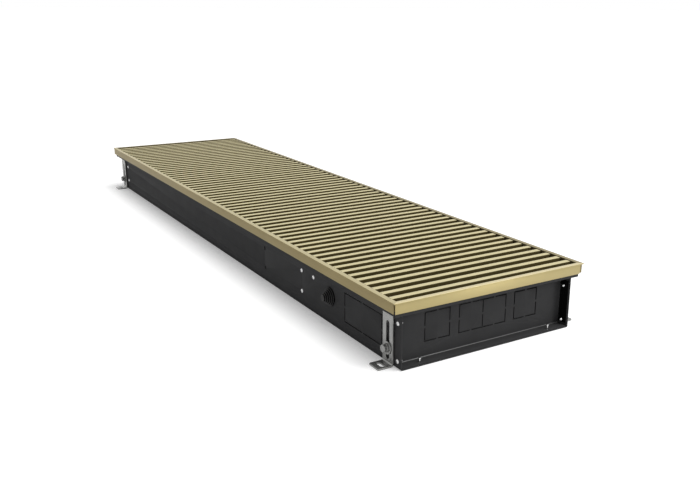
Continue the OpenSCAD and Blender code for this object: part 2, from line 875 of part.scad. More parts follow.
// The air guide between two cheeks that stand on the trough's floor
module fan_housing() {
    outer = fan_d / 2 + housing_gap + housing_t;
    color(BLACK_SHEET) {
        along_x(fan_from - housing_gap, fan_to + housing_gap) housing_section();
        for (x = [fan_from - housing_gap - housing_t, fan_to + housing_gap])
            along_x(x, x + housing_t) difference() {
                strip([fan_y - outer, sheet_t], [fan_y + housing_lead, fan_z + fan_d / 2]);
                translate([fan_y, fan_z]) circle(d = hub_d);
            }
    }
}

// Cross-flow rotor: curved blades through thin discs, with a hub at each end
module fan_rotor() {
    tip_r = fan_d / 2 - blade_t;
    root_r = tip_r * blade_share;
    chord_r = (tip_r - root_r) * blade_chord_share;
    mid_r = (tip_r + root_r) / 2;
    span = fan_to - fan_from - disc_t;
    color(BLACK_SHEET) translate([fan_from, fan_y, fan_z]) rotate([90, 0, 90]) {
        difference() {
            union() {
                for (k = [0:disc_count - 1]) translate([0, 0, k * span / (disc_count - 1)]) difference() {
                    cylinder(h = disc_t, d = fan_d);
                    if (k > 0 && k < disc_count - 1)
                        translate([0, 0, -over]) cylinder(h = disc_t + 2 * over, r = root_r - blade_t);
                }
                for (k = [0, 1]) translate([0, 0, k * (span + disc_t - hub_d / 2)])
                    cylinder(h = hub_d / 2, d = hub_d);
                for (a = [0:360 / blade_count:359]) rotate([0, 0, a]) translate([0, 0, disc_t / 2])
                    linear_extrude(span) translate([mid_r, -chord_r / 2]) intersection() {
                        difference() {
                            circle(r = chord_r);
                            circle(r = chord_r - blade_t);
                        }
                        translate([-chord_r / 2, chord_r * blade_sweep_share]) square([chord_r, chord_r]);
                    }
            }
            translate([0, 0, -over]) cylinder(h = fan_to - fan_from + 2 * over, d = shaft_d + 2 * run_gap);
        }
    }
}

module fan_shaft() {
    color(ZINC) rod_x(bearing_x + run_gap, fan_screw_x + bracket_t + shaft_in_motor, fan_y, fan_z, shaft_d);
}

// Upright plate beside the fan, folded to the front wall, that carries the motor
module motor_bracket() {
    x0 = fan_screw_x - bracket_flange / 2 + bracket_flange;
    y0 = -wall_in + sheet_gap;
    top = fan_z + motor_d / 2 + motor_rib_h;
    color(ZINC) difference() {
        union() {
            block([x0 - bracket_t, y0, sheet_t], [x0, y0 + bracket_w + bracket_flange, top]);
            block([x0 - bracket_flange, y0, sheet_t], [x0, y0 + bracket_t, top]);
            block([x0 - bracket_flange, y0, sheet_t],
                [x0, y0 + bracket_w + bracket_flange, sheet_t + bracket_t]);
        }
        rod_x(x0 - bracket_flange, x0 + over, fan_y, fan_z, hub_d);
        block([x0 - bracket_flange - over, y0 - over, sheet_t - over],
            [x0 + over, -wall_in + corner_relief, flange_low]);
        for (z = [pair_low_z, pair_high_z])
            rod_y(fan_screw_x, -wall_out, y0 + bracket_t + over, z, screw_d + 2 * rivet_gap);
    }
}

// Motor with a flange on its bracket, cooling ribs and a bore for the shaft
module fan_motor() {
    x0 = fan_screw_x + bracket_flange / 2;
    color(BLACK_SHEET) difference() {
        union() {
            rod_x(x0, x0 + motor_flange_t, fan_y, fan_z, motor_d + 2 * motor_rib_h);
            rod_x(x0, x0 + motor_l, fan_y, fan_z, motor_d);
            for (k = [0:motor_rib_count - 1]) translate([x0 + motor_flange_t, fan_y, fan_z])
                rotate([k * 360 / motor_rib_count, 0, 0])
                    translate([0, -motor_rib_t / 2, motor_d / 2 - motor_rib_h])
                        cube([motor_l - 3 * motor_flange_t, motor_rib_t, 2 * motor_rib_h]);
        }
        rod_x(x0 - over, x0 + motor_l / 2, fan_y, fan_z, shaft_d + 2 * run_gap);
    }
}

// Lead from the motor's back to the control box
module motor_lead() {
    color(RUBBER) rod_x(fan_screw_x + bracket_flange / 2 + motor_l, box_from, fan_y, fan_z, lead_d);
}

// Bearing block of the shaft's far end, on the far bulkhead
module fan_bearing() {
    color(GREY_PLASTIC) difference() {
        union() {
            rod_x(bearing_x, bearing_x + bearing_l, fan_y, fan_z, bearing_d);
            block([bearing_x, fan_y - bearing_d, fan_z - bearing_d / 2],
                [bearing_x + bearing_foot_t, fan_y + bearing_d, fan_z + bearing_d / 2]);
        }
        rod_x(bearing_x - over, bearing_x + bearing_l + over, fan_y, fan_z, shaft_d + 2 * run_gap);
    }
}

// Control box: an open tray with an ear riveted to the front wall and bosses for the lid
module control_box() {
    z0 = sheet_t + sheet_gap;
    top = z0 + box_h;
    color(GREY_PLASTIC) difference() {
        union() {
            difference() {
                block([box_from, box_y, z0], [box_from + box_l, box_y + box_w, top]);
                block([box_from + box_wall, box_y + box_wall, z0 + box_wall],
                    [box_from + box_l - box_wall, box_y + box_w - box_wall, top + over]);
            }
            for (x = boss_xs)
                rod_z(x, box_y + box_w / 2, z0, top, boss_d);
            block([box_rivet_x - ear_w / 2, box_y, top - ear_w],
                [box_rivet_x + ear_w / 2, box_y + ear_t, pair_high_z + ear_w / 2]);
        }
        for (x = boss_xs)
            rod_z(x, box_y + box_w / 2, top - screw_l, top + over, screw_d + 2 * rivet_gap);
        rod_y(box_rivet_x, box_y - over, box_y + ear_t + over, pair_high_z, rivet_d + 2 * rivet_gap);
        rod_x(box_from + box_l - box_wall - over, box_from + box_l + over, box_y + box_w / 2,
            z0 + box_h / 4, 2 * lead_d);
    }
}

module control_box_lid() {
    z0 = sheet_t + sheet_gap + box_h;
    in = box_wall + lid_gap;
    color(GREY_PLASTIC) difference() {
        union() {
            block([box_from, box_y + ear_t + lid_gap, z0], [box_from + box_l, box_y + box_w, z0 + lid_t]);
            difference() {
                block([box_from + in, box_y + in, z0 - lid_rim_h],
                    [box_from + box_l - in, box_y + box_w - in, z0 + lid_t / 2]);
                block([box_from + in + box_wall, box_y + in + box_wall, z0 - lid_rim_h - over],
                    [box_from + box_l - in - box_wall, box_y + box_w - in - box_wall, z0]);
            }
        }
        for (x = boss_xs) {
            rod_z(x, box_y + box_w / 2, z0 - lid_rim_h - over, z0, boss_d + 2 * lid_gap);
            rod_z(x, box_y + box_w / 2, z0 - over, z0 + lid_t + over, screw_d + 2 * rivet_gap);
        }
    }
}

// Screw terminals inside the control box
module terminal_block() {
    z0 = sheet_t + sheet_gap + box_wall;
    x0 = box_from + (box_l - terminal_l) / 2;
    y0 = box_y + box_w / 2 - boss_d - terminal_w;
    pole = terminal_l / terminal_poles;
    color(WHITE_PLASTIC) difference() {
        union() {
            block([x0, y0, z0], [x0 + terminal_l, y0 + terminal_w, z0 + terminal_h * terminal_base_share]);
            for (k = [0:terminal_poles - 1])
                block([x0 + (k + pole_gap_share) * pole, y0 + terminal_w / 4, z0],
                    [x0 + (k + 1 - pole_gap_share) * pole, y0 + terminal_w * 3 / 4, z0 + terminal_h]);
        }
        for (k = [0:terminal_poles - 1])
            rod_z(x0 + (k + 0.5) * pole, y0 + terminal_w / 2, z0 + terminal_h / 2, z0 + terminal_h + over,
                terminal_bore_d);
    }
}

// A foot at the connection end of the front wall: an angle with a long slot and an anchor slot
module foot() {
    outer_r = foot_bend_r + foot_t;
    slot_r = foot_slot_w / 2;
    reach = (anchor_slot_l - anchor_slot_w) / 2;
    difference() {
        along_x(foot_x - foot_w / 2, foot_x + foot_w / 2) {
            strip([-foot_out, outer_r], [-foot_in, foot_top]);
            fold([-foot_in - outer_r, outer_r], 1, -1, foot_bend_r, foot_t);
            strip([-foot_toe, 0], [-foot_in - outer_r, foot_t]);
        }
        for (z = [foot_slot_low + slot_r, foot_slot_high - slot_r])
            rod_y(foot_x, -foot_out - over, -foot_in + over, z, foot_slot_w);
        block([foot_x - slot_r, -foot_out - over, foot_slot_low + slot_r],
            [foot_x + slot_r, -foot_in + over, foot_slot_high - slot_r]);
        for (x = [foot_x - reach, foot_x + reach]) rod_z(x, -anchor_y, -over, foot_t + over, anchor_slot_w);
        block([foot_x - reach, -anchor_y - anchor_slot_w / 2, -over],
            [foot_x + reach, -anchor_y + anchor_slot_w / 2, foot_t + over]);
        for (side = [-1, 1]) translate([foot_x + side * foot_w / 2, -foot_toe, -over]) difference() {
            translate([-toe_round_r, -toe_round_r, 0])
                cube([2 * toe_round_r, 2 * toe_round_r, foot_t + 2 * over]);
            translate([-side * toe_round_r, toe_round_r, -over])
                cylinder(h = foot_t + 4 * over, r = toe_round_r);
        }
    }
}

module foot_near_front() {
    color(ZINC) foot();
}

module foot_near_rear() {
    color(ZINC) mirror([0, 1, 0]) foot();
}

module foot_far_front() {
    color(ZINC) mirror([1, 0, 0]) foot();
}

module foot_far_rear() {
    color(ZINC) mirror([1, 0, 0]) mirror([0, 1, 0]) foot();
}

// Plates inside the walls that stiffen them behind the feet
module foot_backing_plates() {
    low_y = -wall_in + sheet_gap;
    x0 = end_face - sheet_t - sheet_gap - backing_w;
    color(ZINC) corners() difference() {
        block([x0, low_y, backing_low], [x0 + backing_w, low_y + backing_t, backing_high]);
        rod_y(foot_x, low_y - over, low_y + backing_t + over, foot_bolt_z, nut_d + 2 * rivet_gap);
        rod_y(foot_x, low_y - over, low_y + backing_t + over, foot_rivet_z, rivet_d + 2 * rivet_gap);
    }
}

// Insert nuts, whose flanges hold the feet off the walls
module foot_nuts() {
    color(ZINC) corners() difference() {
        union() {
            rod_y(foot_x, -foot_in, -foot_in + foot_spacer_t, foot_bolt_z, nut_flange_d);
            rod_y(foot_x, -foot_in, -foot_in + nut_l, foot_bolt_z, nut_d);
        }
        rod_y(foot_x, -foot_in - over, -foot_in + nut_l + over, foot_bolt_z, bolt_d + 2 * rivet_gap);
    }
}

module foot_bolts() {
    under_head = foot_out + 2 * washer_t;
    color(ZINC) corners() {
        translate([foot_x, -under_head, foot_bolt_z]) rotate([90, 0, 0]) intersection() {
            cylinder(h = bolt_head_h, d = bolt_head_af / cos(30), $fn = 6);
            cylinder(h = bolt_head_h, d = bolt_head_af * bolt_corner_share);
        }
        rod_y(foot_x, -under_head, -under_head + bolt_l, foot_bolt_z, bolt_d);
    }
}

// A wide washer and a spring washer under each bolt's head
module foot_washers() {
    hole = bolt_d + 2 * rivet_gap;
    color(ZINC) corners() {
        difference() {
            rod_y(foot_x, -foot_out - washer_t, -foot_out, foot_bolt_z, washer_d);
            rod_y(foot_x, -foot_out - washer_t - over, -foot_out + over, foot_bolt_z, hole);
        }
        difference() {
            rod_y(foot_x, -foot_out - 2 * washer_t, -foot_out - washer_t, foot_bolt_z, lock_washer_d);
            rod_y(foot_x, -foot_out - 2 * washer_t - over, -foot_out - washer_t + over, foot_bolt_z, hole);
        }
    }
}

// Cross section of a slat: a crowned top on two legs with feet turned in
module slat_section() {
    crown_r = (slat_w * slat_w / 4 + slat_crown * slat_crown) / (2 * slat_crown);
    half = slat_w / 2;
    round_z = slat_h - slat_crown - slat_round;
    inner = half - slat_wall - slat_foot_w;
    difference() {
        union() {
            intersection() {
                strip([-half + slat_round, 0], [half - slat_round, slat_h]);
                translate([0, slat_h - crown_r]) circle(r = crown_r, $fn = 180);
            }
            strip([-half, 0], [half, round_z]);
            for (side = [-1, 1]) translate([side * (half - slat_round), round_z]) circle(r = slat_round);
        }
        strip([-half + slat_wall, slat_foot_t], [half - slat_wall, slat_h - slat_top_t]);
        strip([-inner, -over], [inner, slat_foot_t + over]);
    }
}

// Place of a slat along the trench, counted from the far end
function slat_x(k) = slat_first + k * slat_pitch;

module slat(k) {
    x = slat_x(k);
    difference() {
        translate([x, 0, slat_low]) along_y(-slat_half, slat_half) slat_section();
        for (y = [-spring_y, spring_y])
            rod_x(x - slat_w / 2 - over, x + slat_w / 2 + over, y, spring_z, sleeve_bore);
    }
}

// Spacer sleeves on the connection side of a slat
module sleeves(k) {
    x0 = slat_x(k) + slat_w / 2 + sleeve_gap;
    for (y = [-spring_y, spring_y]) pipe_x(x0, x0 + sleeve_l, y, spring_z, sleeve_d, sleeve_bore);
}

module grille_slats() {
    color(PALE_GOLD) for (k = [0:main_count - 1]) slat(k);
}

module grille_spacers() {
    color(RUBBER) for (k = [0:main_count - 1]) sleeves(k);
}

// Closed springs that run through slats and sleeves, with a clip inside the first slat
module grille_springs() {
    x0 = slat_x(0) - slat_w / 2 + slat_wall;
    x1 = slat_x(main_count - 1) + slat_w / 2 + sleeve_gap + sleeve_l;
    color(ZINC) for (y = [-spring_y, spring_y]) {
        rod_x(x0, x1, y, spring_z, spring_d);
        rod_x(x0 + run_gap, x0 + clip_t, y, spring_z, clip_d);
    }
}

module roll_slat(n) {
    color(PALE_GOLD) slat(main_count - 1 + n);
}

// Spring length and sleeves carried by one rolling slat; the last one ends in a clip
module roll_link(n) {
    k = main_count - 1 + n;
    x0 = slat_x(k) - slat_w / 2;
    last = n == roll_count;
    x1 = last ? slat_x(k) + slat_w / 2 - slat_wall : x0 + slat_w + sleeve_gap + sleeve_l;
    color(RUBBER) for (y = [-spring_y, spring_y]) {
        rod_x(x0, x1, y, spring_z, spring_d);
        if (last) rod_x(x1 - clip_t, x1 - run_gap, y, spring_z, clip_d);
        else rod_x(x0 + slat_w + sleeve_gap, x1, y, spring_z, sleeve_d);
    }
}

trough();
end_plate_near();
end_plate_far();
rim_front();
rim_rear();
rim_near();
rim_far();
rim_corner_keys();
ledge_strips();
end_rivets();
wall_rivets();
black_screws();
cable_grommet();
near_bulkhead();
far_bulkhead();
exchanger_tubes();
return_bends();
exchanger_fins();
exchanger_cradles();
supply_union();
return_union();
bleed_valve();
bleed_screw();
fan_housing();
fan_motor();
motor_bracket();
motor_lead();
fan_bearing();
fan_rotor();
fan_shaft();
control_box();
control_box_lid();
terminal_block();
foot_near_front();
foot_near_rear();
foot_far_front();
foot_far_rear();
foot_backing_plates();
foot_nuts();
foot_bolts();
foot_washers();
grille_slats();
grille_spacers();
grille_springs();
roll_slat(1);  // roll_slat_1
roll_slat(2);  // roll_slat_2
roll_slat(3);  // roll_slat_3
roll_slat(4);  // roll_slat_4
roll_slat(5);  // roll_slat_5
roll_slat(6);  // roll_slat_6
roll_slat(7);  // roll_slat_7
roll_slat(8);  // roll_slat_8
roll_link(1);  // roll_link_1
roll_link(2);  // roll_link_2
roll_link(3);  // roll_link_3
roll_link(4);  // roll_link_4
roll_link(5);  // roll_link_5
roll_link(6);  // roll_link_6
roll_link(7);  // roll_link_7
roll_link(8);  // roll_link_8
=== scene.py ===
"""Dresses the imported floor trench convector: gold rim, roll-up grille, black trough, feet, inner parts."""

import logging
import math
from contextlib import contextmanager
from dataclasses import dataclass
from enum import Enum
from typing import Callable, Iterator, Sequence

import bmesh
import bpy
from mathutils import Euler, Matrix, Vector


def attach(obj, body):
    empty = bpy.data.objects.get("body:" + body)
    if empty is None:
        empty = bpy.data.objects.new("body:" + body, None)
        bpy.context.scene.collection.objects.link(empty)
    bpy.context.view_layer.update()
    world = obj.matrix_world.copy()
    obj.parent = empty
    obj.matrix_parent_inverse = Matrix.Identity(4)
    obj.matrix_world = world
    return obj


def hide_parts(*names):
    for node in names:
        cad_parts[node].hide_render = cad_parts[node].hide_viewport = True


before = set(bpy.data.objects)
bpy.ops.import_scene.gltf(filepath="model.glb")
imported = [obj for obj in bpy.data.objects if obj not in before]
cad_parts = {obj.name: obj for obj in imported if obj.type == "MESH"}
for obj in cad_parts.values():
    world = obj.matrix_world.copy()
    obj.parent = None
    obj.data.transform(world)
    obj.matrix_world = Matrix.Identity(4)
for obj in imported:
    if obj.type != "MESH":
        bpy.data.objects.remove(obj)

LOG = logging.getLogger("trench_convector")
MM = 0.001
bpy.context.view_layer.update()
Point = Sequence[float]
Outline = Sequence[tuple[float, float]]
Rule = Callable[[Vector, Vector], bool]
MeshPart = bmesh.types.BMVert | bmesh.types.BMEdge | bmesh.types.BMFace

ORIGIN = (0.0, 0.0, 0.0)
# How near a plane a point still lies on it
NEAR = 0.1 * MM
# The share of a direction that runs along an axis, and the share of a normal that faces one
ALONG = 0.9
FACING = 0.5
# How near two points are one, in a CAD node and in a piece
CAD_MERGE = 0.000002
MERGE = 0.000001
# In degrees: faces this flat become one, edges this sharp are rounded, and edges under this are shaded smooth
FLAT = 0.6
SHARP = 40.0
SMOOTH = 35.0


class Axis(Enum):
    """A direction of the shared frame. FRONT is out of the long wall with the grommet."""

    X = (1.0, 0.0, 0.0)
    Y = (0.0, 1.0, 0.0)
    Z = (0.0, 0.0, 1.0)
    FRONT = (0.0, -1.0, 0.0)


class Element(Enum):
    """What is selected in edit mode."""

    VERT = "verts"
    EDGE = "edges"
    FACE = "faces"

    def place(self, item: MeshPart) -> tuple[Vector, Vector]:
        """Finds where an element is and how it lies.

        Args:
            item: The vertex, edge or face.

        Returns:
            Its middle, and its normal or, for an edge, its direction.
        """
        if self is Element.VERT:
            return item.co, item.normal
        if self is Element.FACE:
            return item.calc_center_median(), item.normal
        a, b = (v.co for v in item.verts)
        return (a + b) / 2, (b - a).normalized()


class Grain(Enum):
    """How a finish's fine pattern is drawn out: the factors on its X, Y and Z."""

    NONE = (1.0, 1.0, 1.0)
    ALONG_X = (0.02, 1.0, 1.0)
    ALONG_Y = (1.0, 0.02, 1.0)
    ALONG_Z = (1.0, 1.0, 0.02)
    COIL = (1.0, 0.0, 0.0)


def add_object(name: str, data: bpy.types.ID) -> bpy.types.Object:
    """Makes an object of a mesh, lamp or camera and puts it in the scene.

    Args:
        name: The object's name.
        data: What it shows.

    Returns:
        The object.
    """
    made = bpy.data.objects.new(name, data)
    bpy.context.scene.collection.objects.link(made)
    return made


def add_node(tree: bpy.types.NodeTree, kind: str, **values: object) -> bpy.types.Node:
    """Adds a node and sets its inputs.

    Args:
        tree: The node tree.
        kind: The node's type, after ShaderNode.
        values: What its inputs are set to, by their names with _ for a space.

    Returns:
        The node.
    """
    node = tree.nodes.new("ShaderNode" + kind)
    for name, value in values.items():
        node.inputs[name.replace("_", " ")].default_value = value
    return node


def offset(at: Point, by: Point) -> list[float]:
    """Gives the point that lies off another by some millimetres."""
    return [a + b * MM for a, b in zip(at, by)]


def aim(direction: Vector) -> Euler:
    """Gives the turn that brings Z to a direction."""
    return direction.to_track_quat("Z", "Y").to_euler()


@dataclass(frozen=True)
class Finish:
    """A surface finish whose colour, gloss and relief vary over the piece.

    The pattern reads Object coordinates, so it lies still on the piece. The mottle is the share by which the
    colour drifts, the gloss spread is added to and taken from the roughness, and the scales say how many
    features fit in a metre. Where it is brushed, highlights are drawn out along Z, across marks along Y.
    What a finish doesn't give is as on satin anodised aluminium.
    """

    name: str
    colour: tuple[float, float, float]
    metallic: float
    roughness: float
    specular: float = 0.5
    mottle: float = 0.03
    mottle_scale: float = 22.0
    gloss_spread: float = 0.04
    relief: float = 0.08
    relief_scale: float = 1600.0
    relief_depth: float = 0.00004
    grain: Grain = Grain.NONE
    brushed: float = 0.0

    def build(self) -> bpy.types.Material:
        """Makes the node material once and gives it back after that.

        Returns:
            The material of this finish.
        """
        known = bpy.data.materials.get(self.name)
        if known is not None:
            return known
        made = bpy.data.materials.new(self.name)
        made.use_nodes = True
        tree = made.node_tree
        shader = tree.nodes["Principled BSDF"]
        shader.inputs["Metallic"].default_value = self.metallic
        shader.inputs["Specular IOR Level"].default_value = self.specular
        if self.brushed:
            shader.inputs["Anisotropic"].default_value = self.brushed
            tree.links.new(add_node(tree, "CombineXYZ", Z=1.0).outputs[0], shader.inputs["Tangent"])
        coords = add_node(tree, "TexCoord")
        drawn = add_node(tree, "Mapping", Scale=self.grain.value)
        tree.links.new(coords.outputs["Object"], drawn.inputs["Vector"])
        broad = self._noise(tree, coords.outputs["Object"], self.mottle_scale, detail=3.0)
        fine = self._noise(tree, drawn.outputs["Vector"], self.relief_scale, detail=2.0)
        self._tint(tree, broad, shader)
        self._gloss(tree, fine, shader)
        bump = add_node(tree, "Bump", Strength=self.relief, Distance=self.relief_depth)
        tree.links.new(fine, bump.inputs["Height"])
        tree.links.new(bump.outputs["Normal"], shader.inputs["Normal"])
        return made

    @staticmethod
    def _noise(tree: bpy.types.NodeTree, vector: bpy.types.NodeSocket, scale: float,
               detail: float) -> bpy.types.NodeSocket:
        """Adds a noise that reads a vector.

        Args:
            tree: The material's node tree.
            vector: The socket with the coordinates.
            scale: How many features fit in a metre.
            detail: How many finer layers it has.

        Returns:
            The socket with the noise's value.
        """
        noise = add_node(tree, "TexNoise", Scale=scale, Detail=detail)
        tree.links.new(vector, noise.inputs["Vector"])
        return noise.outputs["Fac"]

    def _tint(self, tree: bpy.types.NodeTree, value: bpy.types.NodeSocket,
              shader: bpy.types.ShaderNode) -> None:
        """Lets the colour drift between a darker and a lighter tone.

        Args:
            tree: The material's node tree.
            value: The noise that the drift follows.
            shader: The shader that takes the colour.
        """
        ramp = add_node(tree, "ValToRGB")
        low, high = ramp.color_ramp.elements
        low.position, high.position = 0.3, 0.7
        low.color = (*(c * (1 - self.mottle) for c in self.colour), 1.0)
        high.color = (*(min(1.0, c * (1 + self.mottle)) for c in self.colour), 1.0)
        tree.links.new(value, ramp.inputs["Fac"])
        tree.links.new(ramp.outputs["Color"], shader.inputs["Base Color"])

    def _gloss(self, tree: bpy.types.NodeTree, value: bpy.types.NodeSocket,
               shader: bpy.types.ShaderNode) -> None:
        """Lets the roughness vary about its middle.

        Args:
            tree: The material's node tree.
            value: The noise that the gloss follows.
            shader: The shader that takes the roughness.
        """
        spread = add_node(tree, "MapRange", To_Min=max(0.02, self.roughness - self.gloss_spread),
                          To_Max=min(1.0, self.roughness + self.gloss_spread))
        tree.links.new(value, spread.inputs["Value"])
        tree.links.new(spread.outputs["Result"], shader.inputs["Roughness"])


# The anodised rim and grille, as lit and shaded copies of one finish. The skirts along X are painted darker
# as shade and those along Y lighter as light, by the side that each faces.
RIM_X_SHADED = Finish("rim_skirt_x", (0.34, 0.275, 0.135), metallic=0.1, roughness=0.5, specular=0.1,
               mottle_scale=14.0, gloss_spread=0.05, relief=0.10, relief_depth=0.00005, grain=Grain.ALONG_X)
RIM_Y_LIT = Finish("rim_skirt_y", (0.40, 0.33, 0.155), metallic=0.7, roughness=0.40, specular=0.3,
               mottle_scale=14.0, grain=Grain.ALONG_Y, brushed=0.8)
# The lips' upper sides in painted tones: lightest as painted light on the near lip, less on the front lip,
# darkest as painted shade on the rear and far lips.
LIP_LIT = Finish("rim_lip", (0.62, 0.54, 0.32), metallic=0.4, roughness=0.42, specular=0.2)
LIP_HALF_LIT = Finish("rim_lip_side", (0.46, 0.405, 0.235), metallic=0.4, roughness=0.45, specular=0.2)
LIP_SHADED = Finish("rim_lip_far", (0.29, 0.25, 0.15), metallic=0.3, roughness=0.5, specular=0.1)
SLAT = Finish("slat_top", (0.575, 0.515, 0.305), metallic=0.2, roughness=0.5, specular=0.10,
              grain=Grain.ALONG_Y)
# The slats' legs and the rim's grille side, painted near black as the shade between the slats.
SLAT_SHADE = Finish("slat_side", (0.068, 0.052, 0.018), metallic=0.2, roughness=0.6, specular=0.06,
                   mottle=0.05, grain=Grain.ALONG_Y)
# The sheet metal, with a painted highlight along the end plates' bend and painted shade in slits and holes,
# and the fixings.
BLACK_SHEET = Finish("powder_coat_black", (0.046, 0.046, 0.047), metallic=0.0, roughness=0.68, specular=0.04,
                     mottle=0.06, mottle_scale=30.0, gloss_spread=0.06, relief=0.25, relief_scale=1100.0,
                     relief_depth=0.00006)
# A lighter tone painted along the bend as a highlight.
BEND_HIGHLIGHT = Finish("rubbed_bend", (0.13, 0.13, 0.13), metallic=0.2, roughness=0.35, mottle=0.05, relief=0.05,
              relief_depth=0.00003)
# Near black painted onto the edges of slits and holes as the shade inside them.
SLIT_SHADE = Finish("cut_edge", (0.004, 0.004, 0.004), metallic=0.0, roughness=0.8, specular=0.02, mottle=0.02,
                  relief=0.05, relief_depth=0.00003)
BRIGHT_ZINC = Finish("bright_zinc", (0.27, 0.27, 0.262), metallic=0.65, roughness=0.22, mottle=0.10,
                     mottle_scale=45.0, gloss_spread=0.08, relief=0.15, relief_scale=700.0,
                     relief_depth=0.00008)
GALVANISED = Finish("galvanised_sheet", (0.55, 0.56, 0.56), metallic=0.85, roughness=0.38, mottle=0.16,
                    mottle_scale=120.0, gloss_spread=0.10, relief=0.15, relief_scale=500.0,
                    relief_depth=0.0001)
RIVET = Finish("rivet_aluminium", (0.56, 0.56, 0.56), metallic=1.0, roughness=0.16, mottle=0.06,
               mottle_scale=300.0, gloss_spread=0.08, relief=0.1, relief_scale=1500.0, relief_depth=0.00005)
BLACK_SCREW = Finish("blackened_screw", (0.006, 0.006, 0.006), metallic=0.0, roughness=0.5, specular=0.15,
                     mottle=0.10, mottle_scale=300.0, gloss_spread=0.1, relief=0.15, relief_scale=1500.0,
                     relief_depth=0.00005)
# Rubber, and the parts inside the trough.
# The grommet's rubber in two painted tones: sides near black as shade, faces towards the front lighter as
# light, so that its steps show.
GROMMET_SHADED = Finish("grommet_side", (0.002, 0.002, 0.002), metallic=0.0, roughness=0.5, specular=0.02,
                 mottle=0.05, mottle_scale=80.0, gloss_spread=0.06, relief=0.1, relief_scale=1400.0,
                 relief_depth=0.00003)
GROMMET_LIT = Finish("grommet_front", (0.030, 0.030, 0.030), metallic=0.0, roughness=0.5, specular=0.1,
                       mottle=0.05, mottle_scale=80.0, gloss_spread=0.06, relief=0.1, relief_scale=1400.0,
                       relief_depth=0.00003)
RUBBER = Finish("black_rubber", (0.007, 0.007, 0.007), metallic=0.0, roughness=0.5, specular=0.12,
                mottle=0.15, mottle_scale=80.0, gloss_spread=0.06, relief=0.2, relief_scale=1400.0,
                relief_depth=0.00006)
COPPER = Finish("drawn_copper", (0.64, 0.30, 0.17), metallic=0.95, roughness=0.28, mottle=0.14,
                mottle_scale=40.0, gloss_spread=0.10, relief=0.12, relief_scale=900.0, relief_depth=0.00006,
                grain=Grain.ALONG_X)
FIN = Finish("fin_aluminium", (0.72, 0.73, 0.74), metallic=0.85, roughness=0.36, mottle=0.06,
             mottle_scale=40.0, gloss_spread=0.10, relief=0.15, relief_scale=500.0, relief_depth=0.00008,
             grain=Grain.ALONG_Z)
BRASS = Finish("turned_brass", (0.62, 0.46, 0.18), metallic=0.95, roughness=0.26, mottle=0.08,
               mottle_scale=90.0, gloss_spread=0.08, relief=0.1, relief_scale=1200.0, relief_depth=0.00005)
CAST_BLACK = Finish("motor_enamel", (0.018, 0.018, 0.019), metallic=0.0, roughness=0.38, specular=0.4,
                    mottle=0.12, mottle_scale=60.0, gloss_spread=0.1, relief=0.2, relief_scale=700.0,
                    relief_depth=0.0001)
ROTOR = Finish("rotor_black", (0.025, 0.026, 0.028), metallic=0.2, roughness=0.35, mottle=0.12,
               mottle_scale=60.0, gloss_spread=0.1, relief=0.1, relief_scale=700.0, relief_depth=0.00006,
               grain=Grain.ALONG_X)
GREY_PLASTIC = Finish("grey_moulding", (0.24, 0.26, 0.27), metallic=0.0, roughness=0.48, specular=0.45,
                      mottle=0.05, mottle_scale=50.0, gloss_spread=0.06, relief=0.2, relief_scale=1500.0,
                      relief_depth=0.00006)
WHITE_PLASTIC = Finish("white_moulding", (0.74, 0.74, 0.70), metallic=0.0, roughness=0.4, specular=0.45,
                       mottle=0.04, mottle_scale=80.0, gloss_spread=0.06, relief=0.15, relief_scale=1500.0,
                       relief_depth=0.00005)
SPRING_WIRE = Finish("coiled_spring", (0.5, 0.5, 0.49), metallic=0.9, roughness=0.3, mottle=0.08,
                     mottle_scale=60.0, gloss_spread=0.1, relief=0.9, relief_scale=1200.0,
                     relief_depth=0.0003, grain=Grain.COIL)


@dataclass(frozen=True)
class Thread:
    """A thread as rings of a turned piece, root and crest in turn, in millimetres."""

    crest: float
    root: float
    start: float
    step: float
    count: int

    def rings(self) -> list[tuple[float, float]]:
        """Lists the radius and height of each ring."""
        return [(self.root if k % 2 else self.crest, self.start + self.step * k)
                for k in range(1, self.count + 1)]


